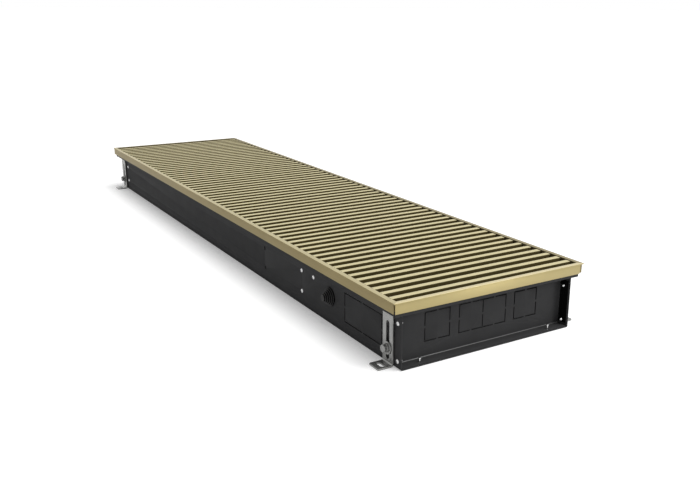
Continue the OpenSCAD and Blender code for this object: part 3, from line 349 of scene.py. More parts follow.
class Shop:
    """The workshop: primitives, edit-mode work and applied modifiers."""

    @staticmethod
    def pick(*pieces: bpy.types.Object) -> None:
        """Selects some pieces alone and makes the last one active.

        Args:
            pieces: The pieces.
        """
        bpy.ops.object.select_all(action="DESELECT")
        for piece in pieces:
            piece.select_set(True)
        bpy.context.view_layer.objects.active = pieces[-1]

    @staticmethod
    def settle(name: str) -> bpy.types.Object:
        """Names the new primitive and moves its place, turn and scale into its mesh.

        Args:
            name: The piece's name.

        Returns:
            The piece, with its object at the origin.
        """
        piece = bpy.context.active_object
        Shop.pick(piece)
        bpy.ops.object.transform_apply(location=True, rotation=True, scale=True)
        piece.name = piece.data.name = name
        return piece

    @staticmethod
    def box(name: str, low: Point, high: Point) -> bpy.types.Object:
        """Adds a block between two corners.

        Args:
            name: The piece's name.
            low: The lowest corner.
            high: The highest corner.

        Returns:
            The block.
        """
        a, b = Vector(low), Vector(high)
        bpy.ops.object.select_all(action="DESELECT")
        bpy.ops.mesh.primitive_cube_add(size=1, location=(a + b) / 2, scale=b - a)
        return Shop.settle(name)

    @staticmethod
    def rod(name: str, start: Point, end: Point, radius: float, sides: int = 32,
            cap: str = "NGON") -> bpy.types.Object:
        """Adds a round bar between two points.

        Args:
            name: The piece's name.
            start: The centre of its first end.
            end: The centre of its last end.
            radius: Its radius.
            sides: How many faces go round it.
            cap: How its ends are closed.

        Returns:
            The bar.
        """
        a, b = Vector(start), Vector(end)
        bpy.ops.object.select_all(action="DESELECT")
        bpy.ops.mesh.primitive_cylinder_add(vertices=sides, radius=radius, depth=(b - a).length,
                                            end_fill_type=cap, location=(a + b) / 2, rotation=aim(b - a))
        return Shop.settle(name)

    @staticmethod
    def turned(name: str, foot: Point, axis: Axis, outline: Outline, sides: int = 20) -> bpy.types.Object:
        """Builds a closed turned piece ring by ring, as on a lathe.

        Args:
            name: The piece's name.
            foot: The point on its axis that heights count from.
            axis: The direction of its axis.
            outline: Radius and height of each ring, in millimetres, from one end to the other.
            sides: How many faces go round it.

        Returns:
            The piece.
        """
        along = Vector(axis.value)
        centre = Vector(foot) + along * outline[0][1] * MM
        bpy.ops.object.select_all(action="DESELECT")
        bpy.ops.mesh.primitive_circle_add(vertices=sides, radius=outline[0][0] * MM, fill_type="NGON",
                                          location=centre, rotation=aim(along))
        piece = Shop.settle(name)
        with Shop.editing(piece):
            bpy.ops.mesh.select_all(action="SELECT")
            for (last_r, last_h), (radius, height) in zip(outline, outline[1:]):
                centre = Vector(foot) + along * height * MM
                bpy.ops.mesh.extrude_region_move(
                    TRANSFORM_OT_translate={"value": along * (height - last_h) * MM})
                share = radius / last_r
                bpy.ops.transform.resize(value=(share, share, share), center_override=centre)
        return piece

    @staticmethod
    def hexagon(name: str, foot: Point, axis: Axis, block: Outline, mould: Outline) -> bpy.types.Object:
        """Makes a hexagon whose corners are turned down.

        Args:
            name: The piece's name.
            foot: The point on its axis that heights count from.
            axis: The direction of its axis.
            block: Radius over its corners and height of its two ends, in millimetres.
            mould: The outline that its corners are turned to.

        Returns:
            The hexagon.
        """
        piece = Shop.turned(name, foot, axis, block, sides=6)
        Shop.keep(piece, Shop.turned("mould", foot, axis, mould, sides=48))
        return piece

    @staticmethod
    def coil(name: str, start: Point, length: float, radius: float, wire: float, sides: int,
             steps: int) -> bpy.types.Object:
        """Winds a closed coil spring along X.

        Args:
            name: The piece's name.
            start: The centre of its first turn.
            length: Its length.
            radius: Its outer radius.
            wire: The wire's radius.
            sides: How many faces go round the wire.
            steps: How many faces a turn has.

        Returns:
            The spring.
        """
        pitch = 2.1 * wire  # the turns all but touch
        turns = int((length - 2 * wire) / pitch)
        bpy.ops.object.select_all(action="DESELECT")
        bpy.ops.mesh.primitive_circle_add(vertices=sides, radius=wire, location=(wire, radius - wire, 0))
        spring = Shop.settle(name)
        Shop.modify(spring, "SCREW", axis="X", angle=2 * math.pi, screw_offset=pitch, steps=steps,
                    render_steps=steps, iterations=turns, use_merge_vertices=False)
        spring.data.transform(Matrix.Translation(start))
        return spring

    @staticmethod
    @contextmanager
    def editing(piece: bpy.types.Object, kind: Element = Element.FACE) -> Iterator[None]:
        """Opens a piece in edit mode with nothing selected, and closes it again.

        Args:
            piece: The piece to edit.
            kind: What is to be selected.
        """
        Shop.pick(piece)
        bpy.ops.object.mode_set(mode="EDIT")
        bpy.ops.mesh.select_mode(type=kind.name)
        bpy.ops.mesh.select_all(action="DESELECT")
        try:
            yield
        finally:
            bpy.ops.object.mode_set(mode="OBJECT")

    @staticmethod
    def mark(piece: bpy.types.Object, kind: Element, rule: Rule) -> None:
        """Selects, in edit mode, what fits a rule.

        Args:
            piece: The piece in edit mode.
            kind: What is looked at.
            rule: Tells whether an element is selected, from its middle and its normal or direction.
        """
        form = bmesh.from_edit_mesh(piece.data)
        for item in getattr(form, kind.value):
            item.select_set(rule(*kind.place(item)))
        bmesh.update_edit_mesh(piece.data)

    @staticmethod
    def slice(piece: bpy.types.Object, point: Point, normal: Point, drop: bool = False) -> None:
        """Cuts a piece along a plane.

        Args:
            piece: The piece to cut.
            point: A point on the plane.
            normal: The plane's normal.
            drop: Whether what lies on the normal's side goes, and the cut is closed.
        """
        with Shop.editing(piece):
            bpy.ops.mesh.select_all(action="SELECT")
            bpy.ops.mesh.bisect(plane_co=point, plane_no=normal, clear_outer=drop, use_fill=drop)

    @staticmethod
    def modify(piece: bpy.types.Object, kind: str, **settings: object) -> None:
        """Adds a modifier and applies it.

        Args:
            piece: The piece to change.
            kind: The modifier's type.
            settings: Its settings.
        """
        modifier = piece.modifiers.new(kind.title(), kind)
        for key, value in settings.items():
            setattr(modifier, key, value)
        Shop.pick(piece)
        bpy.ops.object.modifier_apply(modifier=modifier.name)

    @staticmethod
    def bevel(piece: bpy.types.Object, width: float, segments: int = 2) -> None:
        """Rounds every sharp edge of a piece."""
        Shop.modify(piece, "BEVEL", width=width, segments=segments, limit_method="ANGLE",
                    angle_limit=math.radians(SHARP), use_clamp_overlap=True)

    @staticmethod
    def combine(piece: bpy.types.Object, tool: bpy.types.Object, operation: str) -> None:
        """Changes a closed piece by a closed tool and throws the tool away.

        Args:
            piece: The piece to change.
            tool: The tool.
            operation: The Boolean modifier's operation.
        """
        Shop.modify(piece, "BOOLEAN", object=tool, operation=operation, solver="EXACT")
        bpy.data.objects.remove(tool)

    @staticmethod
    def drill(piece: bpy.types.Object, tool: bpy.types.Object) -> None:
        """Takes a tool's shape out of a piece."""
        Shop.combine(piece, tool, "DIFFERENCE")

    @staticmethod
    def weld(piece: bpy.types.Object, other: bpy.types.Object) -> None:
        """Unites another piece with a piece."""
        Shop.combine(piece, other, "UNION")

    @staticmethod
    def keep(piece: bpy.types.Object, mould: bpy.types.Object) -> None:
        """Keeps what a piece shares with a mould."""
        Shop.combine(piece, mould, "INTERSECT")

    @staticmethod
    def scatter(name: str, piece: bpy.types.Object, places: Sequence[Matrix]) -> bpy.types.Object:
        """Copies a piece to its places, joins the copies and throws the piece away.

        Args:
            name: The joined piece's name.
            piece: The piece.
            places: Where the copies go.

        Returns:
            The joined piece.
        """
        copies = [Shop.twin(piece, "copy", place) for place in places]
        bpy.data.objects.remove(piece)
        return Shop.join(name, *copies)

    @staticmethod
    def join(name: str, *pieces: bpy.types.Object) -> bpy.types.Object:
        """Joins pieces into one.

        Args:
            name: The joined piece's name.
            pieces: The pieces, which become one.

        Returns:
            The joined piece.
        """
        Shop.pick(*pieces)
        if len(pieces) > 1:
            bpy.ops.object.join()
        whole = bpy.context.active_object
        whole.name = whole.data.name = name
        return whole

    @staticmethod
    def twin(piece: bpy.types.Object, name: str, place: Matrix) -> bpy.types.Object:
        """Copies a piece with its own mesh and moves the copy's mesh.

        Args:
            piece: The piece to copy.
            name: The copy's name.
            place: Where the copy goes.

        Returns:
            The copy.
        """
        other = add_object(name, piece.data.copy())
        other.data.name = name
        other.data.transform(place)
        if place.determinant() < 0:
            other.data.flip_normals()
        return other

    @staticmethod
    def cad_copy(node: str, name: str) -> bpy.types.Object:
        """Copies a CAD node's mesh, merges it and joins its flat faces.

        Args:
            node: The CAD node.
            name: The copy's name.

        Returns:
            The copy, a piece of its own.
        """
        piece = add_object(name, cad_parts[node].data.copy())
        with Shop.editing(piece, Element.VERT):
            bpy.ops.mesh.select_all(action="SELECT")
            bpy.ops.mesh.remove_doubles(threshold=CAD_MERGE)
            bpy.ops.mesh.customdata_custom_splitnormals_clear()
            bpy.ops.mesh.dissolve_limited(angle_limit=math.radians(FLAT))
        return piece

    @staticmethod
    def dress(piece: bpy.types.Object, finish: Finish, body: str, slot: str, *nodes: str,
              smooth: float = SMOOTH) -> bpy.types.Object:
        """Gives a piece its finish and body, and lets it stand for CAD nodes.

        Args:
            piece: The piece.
            finish: Its finish.
            body: The CAD body that it rides on.
            slot: The record's material slot; not used.
            nodes: The CAD nodes that it stands for.
            smooth: The angle under which edges are shaded smooth, in degrees.

        Returns:
            The piece.
        """
        with Shop.editing(piece):
            bpy.ops.mesh.select_all(action="SELECT")
            bpy.ops.mesh.remove_doubles(threshold=MERGE)
            bpy.ops.mesh.normals_make_consistent(inside=False)
        piece.data.materials.clear()
        piece.data.materials.append(finish.build())
        Shop.pick(piece)
        bpy.ops.object.shade_smooth_by_angle(angle=math.radians(smooth))
        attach(piece, body)
        if nodes:
            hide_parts(*nodes)
        LOG.info("%s: %d faces on %s", piece.name, len(piece.data.polygons), body)
        return piece

    @staticmethod
    def part_finish(piece: bpy.types.Object, finish: Finish, rule: Rule) -> None:
        """Gives the faces whose centre and normal fit a rule a finish of their own.

        Args:
            piece: The dressed piece.
            finish: The finish of these faces.
            rule: Tells whether a face with this centre and normal takes it.
        """
        piece.data.materials.append(finish.build())
        last = len(piece.data.materials) - 1
        for face in piece.data.polygons:
            if rule(face.center, face.normal):
                face.material_index = last


@dataclass(frozen=True)
class Rim:
    """The rim: four extrusions mitred at the lip, with open slits at the skirt's corners."""

    half_l: float = 600 * MM
    half_w: float = 150 * MM
    top: float = 90 * MM
    lip_w: float = 6.8 * MM
    lip_t: float = 1.5 * MM
    overhang: float = 0.8 * MM
    skirt_h: float = 14 * MM
    skirt_t: float = 1.8 * MM
    leg_t: float = 1 * MM
    leg_low: float = 72.1 * MM
    rib_w: float = 1.6 * MM
    rib_h: float = 1 * MM
    lip_round: float = 0.35 * MM
    edge_round: float = 0.15 * MM
    slit: float = 1.9 * MM
    near_front_slit: float = 0.9 * MM
    near_rear_slit: float = 4.8 * MM
    lip_face: float = 0.6 * MM

    def bar(self, half: float, edge: float, inset: float, thick: float, low: float, high: float,
            trims: tuple[float, float], soft: float) -> bpy.types.Object:
        """Makes one leg of the section along X and mitres its ends.

        Args:
            half: Half the rim's length on this side.
            edge: From the middle to the rim's outer edge.
            inset: From that edge to the leg.
            thick: The leg's thickness.
            low: The leg's lower side.
            high: The leg's upper side.
            trims: What is cut off at its first and last end.
            soft: The rounding of its edges.

        Returns:
            The leg.
        """
        leg = Shop.box("leg", (-half, -edge + inset, low), (half, -edge + inset + thick, high))
        Shop.slice(leg, (-half + trims[0], -edge, 0), (-1, 1, 0), drop=True)
        Shop.slice(leg, (half - trims[1], -edge, 0), (1, 1, 0), drop=True)
        Shop.bevel(leg, soft, segments=3)
        return leg

    def side(self, name: str, half: float, edge: float, trims: tuple[float, float],
             turn: float) -> bpy.types.Object:
        """Makes one side of the rim.

        Args:
            name: The CAD node that it stands for.
            half: Half the rim's length on this side.
            edge: From the middle to the rim's outer edge.
            trims: How far the skirt ends short of the mitres.
            turn: How far it is turned about Z, in degrees.

        Returns:
            The side, in its place.
        """
        under = self.top - self.lip_t
        into_lip = under + self.edge_round
        untrimmed = (0.0, 0.0)
        lip = (0.0, self.lip_w, under, self.top, untrimmed, self.lip_round)
        skirt = (self.overhang, self.skirt_t, self.top - self.skirt_h, into_lip, trims, self.edge_round)
        leg = (self.lip_w - self.leg_t, self.leg_t, self.leg_low, into_lip, untrimmed, self.edge_round)
        rib = (self.overhang + self.skirt_t, self.rib_w, under - self.rib_h, into_lip, trims,
               self.edge_round)
        bars = [self.bar(half, edge, *sizes) for sizes in (lip, skirt, leg, rib)]
        whole = Shop.join("visual_" + name, *bars)
        whole.data.transform(Matrix.Rotation(math.radians(turn), 4, "Z"))
        return whole

    def upper(self, centre: Vector, normal: Vector) -> bool:
        """Tells whether a face is the lip's upper side or the rounding beside it."""
        return normal.z > FACING and centre.z > self.top - self.lip_face

    def inside(self, centre: Vector, normal: Vector) -> bool:
        """Tells whether a face is the inner leg's side towards the grille.

        Args:
            centre: The face's centre.
            normal: The face's normal.

        Returns:
            Whether it is.
        """
        reach = self.lip_w - self.leg_t / 2
        within = abs(centre.x) < self.half_l - reach and abs(centre.y) < self.half_w - reach
        return normal.z < FACING and within

    def build(self) -> None:
        """Makes and dresses the four sides."""
        even = (self.slit, self.slit)
        uneven = (self.near_front_slit, self.near_rear_slit)
        # The skirts along X take the painted-shade tone and those along Y the painted-light tone.
        sides = (
            ("rim_front", self.half_l, self.half_w, even, 0.0, RIM_X_SHADED, LIP_HALF_LIT),
            ("rim_rear", self.half_l, self.half_w, even, 180.0, RIM_X_SHADED, LIP_SHADED),
            ("rim_near", self.half_w, self.half_l, uneven, 90.0, RIM_Y_LIT, LIP_LIT),
            ("rim_far", self.half_w, self.half_l, uneven[::-1], -90.0, RIM_Y_LIT, LIP_SHADED),
        )
        for name, half, edge, trims, turn, skirt, lip in sides:
            side = Shop.dress(self.side(name, half, edge, trims, turn), skirt, "trough", "gold_rim", name)
            # The lip's upper side takes its painted light or painted shade tone.
            Shop.part_finish(side, lip, self.upper)
            # The inner leg's grille side is painted dark as shade.
            Shop.part_finish(side, SLAT_SHADE, self.inside)


@dataclass(frozen=True)
class RollGrille:
    """The roll-up cross grille: hollow crowned slats, sleeves and the springs through them.

    The clip's outline and mouth are in millimetres.
    """

    pitch: float = 19.28 * MM
    first: float = -578.4 * MM
    main_count: int = 53
    roll_count: int = 8
    width: float = 9 * MM
    low: float = 72.8 * MM
    top: float = 89.3 * MM
    half: float = 142 * MM
    wall: float = 1.2 * MM
    foot: float = 1.4 * MM
    crown: float = 0.25 * MM
    corner: float = 0.9 * MM
    spring_y: float = 97 * MM
    spring_z: float = 78.3 * MM
    hole_r: float = 2.5 * MM
    sleeve_r: float = 4.5 * MM
    spring_r: float = 2.2 * MM
    wire_r: float = 0.5 * MM
    run_faces: tuple[int, int] = (4, 6)
    link_faces: tuple[int, int] = (6, 12)
    clip_t: float = 1.2 * MM
    clip_play: float = 0.05 * MM
    clip_outline: Outline = ((3.5, 0), (3.7, 0.15), (3.7, 0.95), (3.5, 1.1))
    clip_mouth: tuple[Point, Point] = ((-1, -0.6, -6), (2, 0.6, -2))
    sleeve_gap: float = 0.3 * MM
    sleeve_l: float = 9.68 * MM
    sleeve_round: float = 0.4 * MM
    # Faces whose normal points up less than this take the slats' painted shade.
    bright: float = 0.85

    @property
    def rows(self) -> tuple[float, float]:
        """Gives the two springs' places across the trench."""
        return -self.spring_y, self.spring_y

    def station(self, n: int) -> float:
        """Gives the place along the trench of the n-th slat that rolls."""
        return self.first + (self.main_count - 1 + n) * self.pitch

    def slat(self) -> bpy.types.Object:
        """Makes one slat across X = 0: crowned top, two legs, feet turned in, holes for the springs.

        Returns:
            The slat.
        """
        half_w = self.width / 2
        mouth = half_w - self.wall - self.foot
        slat = Shop.box("slat", (-half_w, -self.half, self.low), (half_w, self.half, self.top))
        for x in (-mouth, 0, mouth):
            Shop.slice(slat, (x, 0, 0), (1, 0, 0))
        with Shop.editing(slat):
            Shop.mark(slat, Element.FACE,
                      lambda c, n: abs(n.y) > ALONG or (n.z < -ALONG and abs(c.x) < mouth))
            bpy.ops.mesh.delete(type="FACE")
        with Shop.editing(slat, Element.VERT):
            Shop.mark(slat, Element.VERT, lambda v, _: v.z > self.top - NEAR and abs(v.x) > half_w - NEAR)
            bpy.ops.transform.translate(value=(0, 0, -self.crown))
            Shop.mark(slat, Element.VERT, lambda v, _: v.z > self.top - NEAR and abs(abs(v.x) - mouth) < NEAR)
            bpy.ops.transform.translate(value=(0, 0, -self.crown * (mouth / half_w) ** 2))
        with Shop.editing(slat, Element.EDGE):
            Shop.mark(slat, Element.EDGE, lambda m, d: abs(d.y) > ALONG and abs(m.x) > half_w - NEAR
                      and m.z > self.top - self.corner)
            bpy.ops.mesh.bevel(offset=self.corner, segments=4, affect="EDGES")
        Shop.modify(slat, "SOLIDIFY", thickness=self.wall, offset=-1.0, use_even_offset=True)
        for y in self.rows:
            Shop.drill(slat, Shop.rod("drill", (-self.width, y, self.spring_z),
                                      (self.width, y, self.spring_z), self.hole_r, sides=16))
        return slat

    def sleeve(self, y: float) -> bpy.types.Object:
        """Makes the sleeve on the connection side of a slat across X = 0.

        Args:
            y: The sleeve's place across the trench.

        Returns:
            The sleeve.
        """
        start = self.width / 2 + self.sleeve_gap
        sleeve = Shop.rod("sleeve", (start, y, self.spring_z), (start + self.sleeve_l, y, self.spring_z),
                          self.sleeve_r, sides=20, cap="NOTHING")
        Shop.modify(sleeve, "SOLIDIFY", thickness=self.sleeve_r - self.hole_r, offset=-1.0)
        Shop.bevel(sleeve, self.sleeve_round)
        return sleeve

    def sleeve_pair(self, name: str, x: float) -> bpy.types.Object:
        """Makes the two sleeves on the connection side of a slat.

        Args:
            name: The pair's name.
            x: The slat's place along the trench.

        Returns:
            The pair.
        """
        pair = Shop.join(name, *(self.sleeve(y) for y in self.rows))
        pair.data.transform(Matrix.Translation((x, 0, 0)))
        return pair

    def build(self) -> None:
        """Makes the fixed run of slats and sleeves, and the slats that roll up."""
        slat = self.slat()
        for n in range(1, self.roll_count + 1):
            copy = Shop.twin(slat, "visual_roll_slat_%d" % n, Matrix.Translation((self.station(n), 0, 0)))
            self.finish(copy, "roll_%d" % n, "roll_slat_%d" % n)
        slat.data.transform(Matrix.Translation((self.first, 0, 0)))
        self.run(slat)
        self.finish(Shop.join("visual_grille_slats", slat), "grille", "grille_slats")
        sleeves = self.sleeve_pair("visual_grille_spacers", self.first)
        self.run(sleeves)
        Shop.dress(sleeves, RUBBER, "grille", "black_rubber", "grille_spacers")
        self.springs()
        for n in range(1, self.roll_count + 1):
            self.link(n)

    def finish(self, slats: bpy.types.Object, body: str, node: str) -> None:
        """Dresses slats: crowned tops in the slat tone, legs painted dark as shade."""
        Shop.dress(slats, SLAT, body, "gold_slat", node)
        Shop.part_finish(slats, SLAT_SHADE, lambda c, n: n.z < self.bright)

    def spring(self, start: float, y: float, length: float, faces: tuple[int, int]) -> bpy.types.Object:
        """Winds one tie spring.

        Args:
            start: Where it begins along the trench.
            y: Its place across the trench.
            length: Its length.
            faces: How many faces go round the wire, and how many a turn has.

        Returns:
            The spring.
        """
        return Shop.coil("spring", (start, y, self.spring_z), length, self.spring_r, self.wire_r, *faces)

    def springs(self) -> None:
        """Winds the tie springs of the fixed run, with the clips at their start."""
        start = self.first - self.width / 2 + self.wall
        length = (self.main_count - 1) * self.pitch + self.width - self.wall + self.sleeve_gap + self.sleeve_l
        parts = []
        for y in self.rows:
            parts.append(self.spring(start, y, length, self.run_faces))
            parts.append(self.clip((start + self.clip_play, y, self.spring_z)))
        springs = Shop.join("visual_grille_springs", *parts)
        Shop.dress(springs, SPRING_WIRE, "grille", "zinc", "grille_springs", smooth=80)

    def link(self, n: int) -> None:
        """Makes the springs that ride with a rolling slat, and its sleeves or, on the last one, the clips.

        Args:
            n: The slat's number, from 1.
        """
        last = n == self.roll_count
        body, node = "roll_%d" % n, "roll_link_%d" % n
        start = self.station(n) - self.width / 2
        length = self.width - self.wall if last else self.width + self.sleeve_gap + self.sleeve_l
        parts = [self.spring(start, y, length, self.link_faces) for y in self.rows]
        if last:
            parts += [self.clip((start + length - self.clip_t, y, self.spring_z)) for y in self.rows]
        Shop.dress(Shop.join("visual_spring_%d" % n, *parts), SPRING_WIRE, body, "zinc", node, smooth=80)
        if not last:
            pair = self.sleeve_pair("visual_sleeves_%d" % n, self.station(n))
            Shop.dress(pair, RUBBER, body, "black_rubber", node)

    def clip(self, at: Point) -> bpy.types.Object:
        """Makes the open retaining clip of a spring's end.

        Args:
            at: The centre of its first face.

        Returns:
            The clip.
        """
        clip = Shop.turned("clip", at, Axis.X, self.clip_outline, sides=28)
        Shop.drill(clip, Shop.box("drill", *(offset(at, corner) for corner in self.clip_mouth)))
        return clip

    def run(self, piece: bpy.types.Object) -> None:
        """Repeats a piece at the slats' pitch along the fixed run."""
        Shop.modify(piece, "ARRAY", count=self.main_count, use_relative_offset=False,
                    use_constant_offset=True, constant_offset_displace=(self.pitch, 0, 0))


@dataclass(frozen=True)
class SheetWork:
    """The folded sheet pieces, whose cut edges are broken by a small rounding."""

    edge: float = 0.12 * MM
    wall_in: float = 134 * MM
    knockout_x: float = 459 * MM
    knockout_z: float = 17.5 * MM
    knockout_l: float = 91 * MM
    knockout_h: float = 40 * MM
    film: float = 0.12 * MM
    film_round: float = 3 * MM
    lap: float = 5 * MM
    bend_z: tuple[float, float] = (2 * MM, 3.2 * MM)
    bend_lean: tuple[float, float] = (0.2, 0.98)

    def build(self) -> None:
        """Makes and dresses the sheet pieces."""
        trough = self.sheet("trough", self.edge)
        trough = Shop.join(trough.name, self.tape(), trough)
        Shop.dress(trough, BLACK_SHEET, "trough", "black_sheet", "trough")
        # Across the knockouts, the walls' slit and hole edges are painted near black as shade.
        Shop.part_finish(trough, SLIT_SHADE, lambda c, n: abs(n.y) < FACING and self.in_knockout(c.z)
                         and abs(c.y) > self.wall_in - NEAR)
        for node in ("end_plate_near", "end_plate_far"):
            plate = self.sheet(node, self.edge)
            Shop.dress(plate, BLACK_SHEET, "trough", "black_sheet", node)
            # The bend above the floor flange is painted lighter as a highlight.
            Shop.part_finish(plate, BEND_HIGHLIGHT, self.in_bend)
            # Across the knockouts, plate faces that don't face along the trench are painted near black as
            # shade.
            Shop.part_finish(plate, SLIT_SHADE, lambda c, n: abs(n.x) < FACING and self.in_knockout(c.z))
        for node in ("foot_near_front", "foot_near_rear", "foot_far_front", "foot_far_rear"):
            Shop.dress(self.sheet(node, 3 * self.edge), BRIGHT_ZINC, node, "foot_steel", node)

    @staticmethod
    def sheet(node: str, width: float) -> bpy.types.Object:
        """Copies a sheet piece from the CAD and breaks its edges.

        Args:
            node: The CAD node.
            width: The width of its broken edges.

        Returns:
            The sheet piece.
        """
        piece = Shop.cad_copy(node, "visual_" + node)
        Shop.bevel(piece, width)
        return piece

    def in_bend(self, centre: Vector, normal: Vector) -> bool:
        """Tells whether a face is in the bend above an end plate's floor flange, which is painted lighter as
        a highlight.
        """
        (low, high), (least, most) = self.bend_z, self.bend_lean
        return low < centre.z < high and least < normal.z < most

    def in_knockout(self, height: float) -> bool:
        """Tells whether a height lies within the knockouts."""
        return 0.5 * self.knockout_z < height < self.knockout_z + self.knockout_h + self.lap

    def tape(self) -> bpy.types.Object:
        """Makes the thin film that closes the rear wall's knockout slits, which no pipe or cable uses.

        Returns:
            The film, on the wall's inner face.
        """
        low = (self.knockout_x - self.lap, self.wall_in - self.film, self.knockout_z - self.lap)
        high = (self.knockout_x + self.knockout_l + self.lap, self.wall_in,
                self.knockout_z + self.knockout_h + self.lap)
        film = Shop.box("film", low, high)
        with Shop.editing(film, Element.EDGE):
            Shop.mark(film, Element.EDGE, lambda m, d: abs(d.y) > ALONG)
            bpy.ops.mesh.bevel(offset=self.film_round, segments=4, affect="EDGES")
        return film


@dataclass(frozen=True)
class Fixings:
    """Rivets, screws, foot bolts and their washers: each turned once and copied to its places.

    Sizes of the turned pieces themselves are in millimetres.
    """

    wall: float = 135 * MM
    end_x: float = 585 * MM
    end_z: tuple[float, float] = (9.5 * MM, 58 * MM)
    floor_x: float = 587.04 * MM
    floor_y: float = 104 * MM
    pair_x: tuple[float, float] = (335 * MM, -543.5 * MM)
    pair_z: tuple[float, float] = (22 * MM, 53 * MM)
    box_x: float = 371 * MM
    foot_x: float = 568 * MM
    foot_rivet_z: float = 54 * MM
    bolt_z: float = 22 * MM
    foot_face: float = 138.2 * MM
    washer_t: float = 1.6 * MM
    fan_screw_x: float = 208 * MM
    lid_screws: tuple[float, float] = (352.5 * MM, 395.5 * MM)
    lid_y: float = -101.5 * MM
    lid_z: float = 49.1 * MM
    head_r: float = 3.0
    head_h: float = 1.3
    low_head_r: float = 2.8
    low_head_h: float = 0.8
    grip: float = 2.1
    foot_grip: float = 3.1
    flush_rivet: Outline = ((1.55, 0.0), (1.6, 2.1), (1.25, 2.3), (1.15, 6.4), (1.75, 6.7), (1.85, 7.4),
                            (1.6, 8.2), (0.8, 8.6))
    screw_head: Outline = ((1.9, -1.2), (2.6, -1.0), (2.95, -0.5), (3.0, 0.0), (1.75, 0.0))
    screw_thread: Thread = Thread(crest=1.75, root=1.35, start=0.6, step=0.4, count=16)
    screw_tip: Outline = ((1.2, 7.7), (0.5, 8.0))
    cross_depth: tuple[float, float] = (-2.0, -0.55)
    cross: tuple[float, float] = (1.6, 0.35)
    bolt_block: Outline = ((5.77, 0.0), (5.77, 4.4))
    bolt_mould: Outline = ((5.0, -0.1), (5.5, 0.15), (5.5, 3.6), (4.75, 4.15), (4.5, 4.5))
    bolt_shank: Outline = ((3.0, -0.3), (3.0, 3.0))
    bolt_thread: Thread = Thread(crest=3.0, root=2.55, start=3.0, step=0.5, count=32)
    bolt_tip: Outline = ((2.2, 19.6), (2.0, 20.0))
    washer_hole: float = 3.05
    washer_round: float = 0.25
    wide_r: float = 8.5
    split_r: float = 5.5
    split_gap: tuple[Point, Point] = ((-0.4, -4.0, 2.0), (0.4, 2.0, 7.0))
    split_lean: float = 28.0

    @staticmethod
    def sides(x: float, y: float, z: float, both_ends: bool = True, both_sides: bool = True) -> list[Matrix]:
        """Lists the places of a piece made at the front wall's foot, and of its mirror images.

        Args:
            x: Its place along the trench, at the connection end.
            y: How far it stands out from the middle.
            z: Its height.
            both_ends: Whether the far end has it too.
            both_sides: Whether the rear side has it too.

        Returns:
            The places.
        """
        here = Matrix.Translation((x, -y, z))
        places = [here]
        if both_sides:
            places.append(Matrix.Scale(-1, 4, Axis.Y.value) @ here)
        if both_ends:
            places += [Matrix.Scale(-1, 4, Axis.X.value) @ place for place in places]
        return places

    @staticmethod
    def rivet(radius: float, height: float, grip: float) -> bpy.types.Object:
        """Turns a blind rivet along Y: domed head with the mandrel's dimple, shank and bulb.

        Args:
            radius: The head's radius, in millimetres.
            height: The head's height, in millimetres.
            grip: The thickness that it holds, in millimetres.

        Returns:
            The rivet, with its head's underside at the origin.
        """
        head = ((0.8, -height * 0.45), (0.9, -height * 0.97), (1.15, -height),
                (radius * 0.62, -height * 0.86), (radius * 0.86, -height * 0.5), (radius, -height * 0.12),
                (radius * 0.97, 0.0))
        shank = ((1.6, 0.0), (1.6, grip))
        bulb = ((2.15, grip + 0.15), (2.2, grip + 2.6), (1.9, grip + 4.0), (1.2, grip + 4.7),
                (0.8, grip + 5.0))
        return Shop.turned("rivet", ORIGIN, Axis.Y, head + shank + bulb)

    def screw(self, axis: Axis) -> bpy.types.Object:
        """Turns a pan head screw with a cross recess, its head before the origin and its shank beyond.

        Args:
            axis: The direction from its head to its tip, Y or Z.

        Returns:
            The screw.
        """
        outline = (*self.screw_head, *self.screw_thread.rings(), *self.screw_tip)
        screw = Shop.turned("screw", ORIGIN, axis, outline)
        top, bottom = self.cross_depth
        for a, b in (self.cross, self.cross[::-1]):
            low, high = Vector((-a, top, -b)), Vector((a, bottom, b))
            if axis is Axis.Z:
                low, high = low.xzy, high.xzy
            Shop.drill(screw, Shop.box("drill", low * MM, high * MM))
        return screw

    def bolt(self) -> bpy.types.Object:
        """Makes a foot's bolt: chamfered hexagon towards -Y and a threaded shank beyond the origin.

        Returns:
            The bolt.
        """
        head = Shop.hexagon("bolt", ORIGIN, Axis.FRONT, self.bolt_block, self.bolt_mould)
        outline = (*self.bolt_shank, *self.bolt_thread.rings(), *self.bolt_tip)
        shank = Shop.turned("shank", ORIGIN, Axis.Y, outline)
        return Shop.join("bolt", head, shank)

    def washer(self, outer: float, split: bool) -> bpy.types.Object:
        """Makes a flat or a split washer round Y, from the origin towards -Y.

        Args:
            outer: Its outer radius, in millimetres.
            split: Whether it is a spring washer, cut open aslant.

        Returns:
            The washer.
        """
        thick, soft, skim = self.washer_t / MM, self.washer_round, 0.02
        outline = ((outer - soft, skim), (outer, soft), (outer, thick - soft), (outer - soft, thick - skim))
        ring = Shop.turned("washer", ORIGIN, Axis.FRONT, outline, sides=40)
        Shop.drill(ring, Shop.rod("drill", (0, MM, 0), (0, -3 * MM, 0), self.washer_hole * MM))
        if split:
            cut = Shop.box("drill", *(offset(ORIGIN, corner) for corner in self.split_gap))
            cut.data.transform(Matrix.Rotation(math.radians(self.split_lean), 4, "Z"))
            Shop.drill(ring, cut)
        return ring

    @staticmethod
    def fit(node: str, finish: Finish, slot: str, *pieces: bpy.types.Object, smooth: float = SMOOTH) -> None:
        """Joins fixings and dresses them, in the place of a CAD node.

        Args:
            node: The CAD node.
            finish: Their finish.
            slot: The record's material slot.
            pieces: The fixings.
            smooth: The angle under which edges are shaded smooth, in degrees.
        """
        Shop.dress(Shop.join("visual_" + node, *pieces), finish, "trough", slot, node, smooth=smooth)

